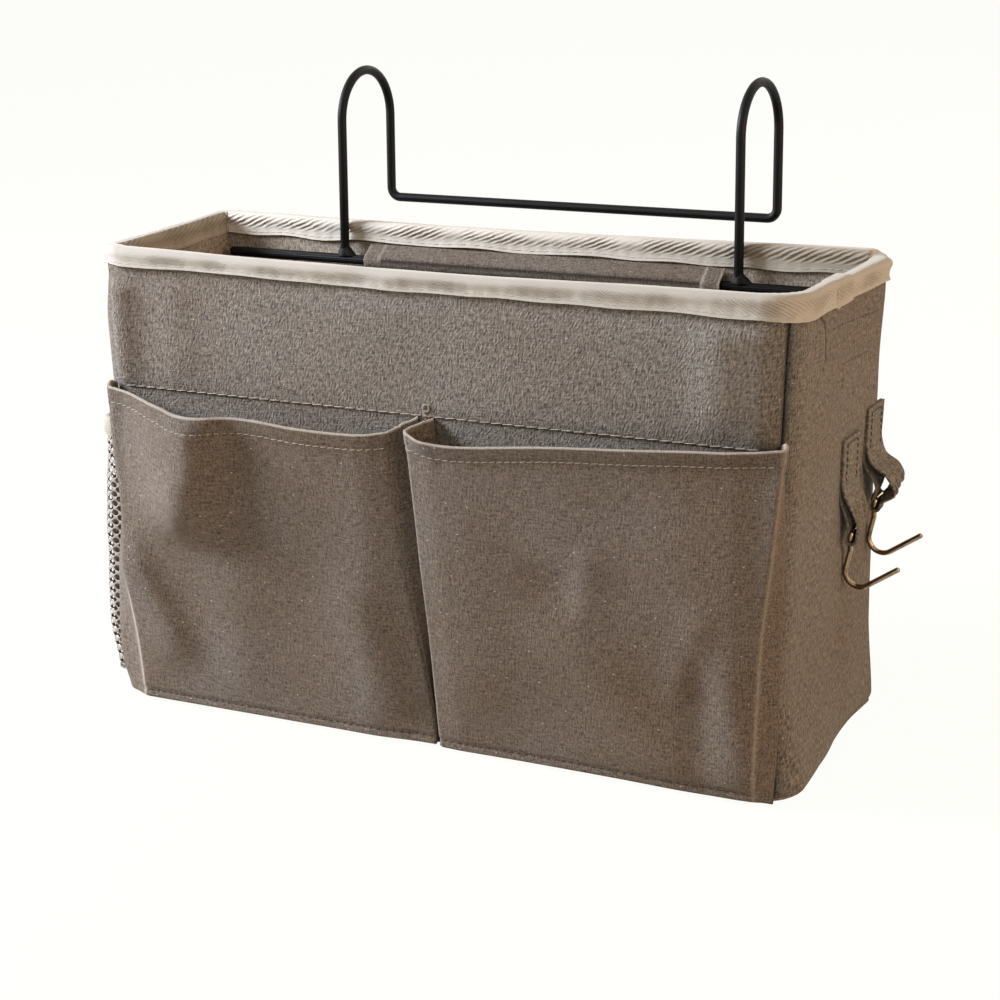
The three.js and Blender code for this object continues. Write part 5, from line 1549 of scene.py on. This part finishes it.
class CADDY_OT_stage(CaddyOperator, bpy.types.Operator):
    """Set the floor, the light and the camera"""

    bl_idname = "caddy.stage"
    bl_label = "Stage"

    def execute(self, context):
        scene = context.scene
        scene.view_settings.view_transform = "Standard"
        deselect_all()
        bpy.ops.mesh.primitive_plane_add(size=FLOOR_WIDTH, location=(0, 0, FLOOR_LEVEL * MM))
        floor = context.object
        floor.name = "floor"
        material, tree, shader = start_material("pale_floor")
        tree.nodes.remove(shader)
        seen = seen_by_eye(tree)
        share = add_node(tree, "Math", {0: seen, 1: FLOOR_GLOW}, operation="MULTIPLY")
        # Light that the floor throws back on the object is that of a pale wooden floor
        tint = add_node(tree, "Mix", {"Factor": seen, "A": linear("#c9beae"), "B": WHITE}, data_type="RGBA")
        matte = add_node(tree, "BsdfDiffuse", {"Color": tint})
        glow = add_node(tree, "Emission", {"Color": WHITE, "Strength": 1.0})
        mixed = add_node(tree, "MixShader", {0: share, 1: matte, 2: glow})
        connect(tree, tree.nodes["Material Output"], {"Surface": mixed})
        floor.data.materials.append(material)

        scene.world = bpy.data.worlds.new("studio")
        scene.world.use_nodes = True
        tree = scene.world.node_tree
        ambient = add_node(tree, "Background", {"Color": linear("#fff0e0"), "Strength": AMBIENT})
        backdrop = add_node(tree, "Background", {"Color": WHITE, "Strength": 1.0})
        mixed = add_node(tree, "MixShader", {0: seen_by_eye(tree), 1: ambient, 2: backdrop})
        connect(tree, tree.nodes["World Output"], {"Surface": mixed})

        for name, place, size, power, colour in LAMPS:
            lamp = bpy.data.lights.new(name, "AREA")
            lamp.size, lamp.energy, lamp.color = size, power, linear(colour)[:3]
            lamp_object = bpy.data.objects.new(name, lamp)
            scene.collection.objects.link(lamp_object)
            lamp_object.location = place
            lamp_object.rotation_euler = (LAMP_AIM - Vector(place)).to_track_quat("-Z", "Y").to_euler()

        level = math.cos(CAMERA_ELEVATION)
        back = Vector((math.sin(CAMERA_AZIMUTH) * level, -math.cos(CAMERA_AZIMUTH) * level,
                       math.sin(CAMERA_ELEVATION)))
        across = (-back).cross(Vector((0, 0, 1))).normalized()
        up = across.cross(-back)
        turned_across = across * math.cos(CAMERA_ROLL) + up * math.sin(CAMERA_ROLL)
        turned_up = up * math.cos(CAMERA_ROLL) - across * math.sin(CAMERA_ROLL)
        camera = bpy.data.cameras.new("camera")
        camera.lens, camera.sensor_width, camera.sensor_fit = CAMERA_LENS, CAMERA_SENSOR, "HORIZONTAL"
        camera_object = bpy.data.objects.new("camera", camera)
        scene.collection.objects.link(camera_object)
        turn = Matrix((turned_across, turned_up, back)).transposed().to_4x4()
        camera_object.matrix_world = Matrix.Translation((CAMERA_TARGET + back * CAMERA_DISTANCE) * MM) @ turn
        scene.camera = camera_object
        return {"FINISHED"}


OPERATORS = (CADDY_OT_stage, CADDY_OT_walls, CADDY_OT_lining, CADDY_OT_rim, CADDY_OT_front_pockets,
             CADDY_OT_net_pocket, CADDY_OT_hanger, CADDY_OT_flap, CADDY_OT_straps, CADDY_OT_hooks)


class CADDY_PT_sidebar(bpy.types.Panel):
    """The caddy's operators, sizes and colours"""

    bl_label = "Bedside caddy"
    bl_idname = "CADDY_PT_sidebar"
    bl_space_type = "VIEW_3D"
    bl_region_type = "UI"
    bl_category = "Caddy"

    def draw(self, context):
        for operator in OPERATORS:
            self.layout.operator(operator.bl_idname)
        for group in (context.scene.caddy_sizes, context.scene.caddy_colours):
            for name in group.__annotations__:
                self.layout.prop(group, name)


CLASSES = (CaddySizes, CaddyColours, *OPERATORS, CADDY_PT_sidebar)


def register():
    for one in CLASSES:
        bpy.utils.register_class(one)
    bpy.types.Scene.caddy_sizes = PointerProperty(type=CaddySizes)
    bpy.types.Scene.caddy_colours = PointerProperty(type=CaddyColours)


def unregister():
    del bpy.types.Scene.caddy_colours
    del bpy.types.Scene.caddy_sizes
    for one in reversed(CLASSES):
        bpy.utils.unregister_class(one)


def main():
    register()
    for operator in OPERATORS:
        group, name = operator.bl_idname.split(".")
        getattr(getattr(bpy.ops, group), name)()


if __name__ == "__main__":
    main()
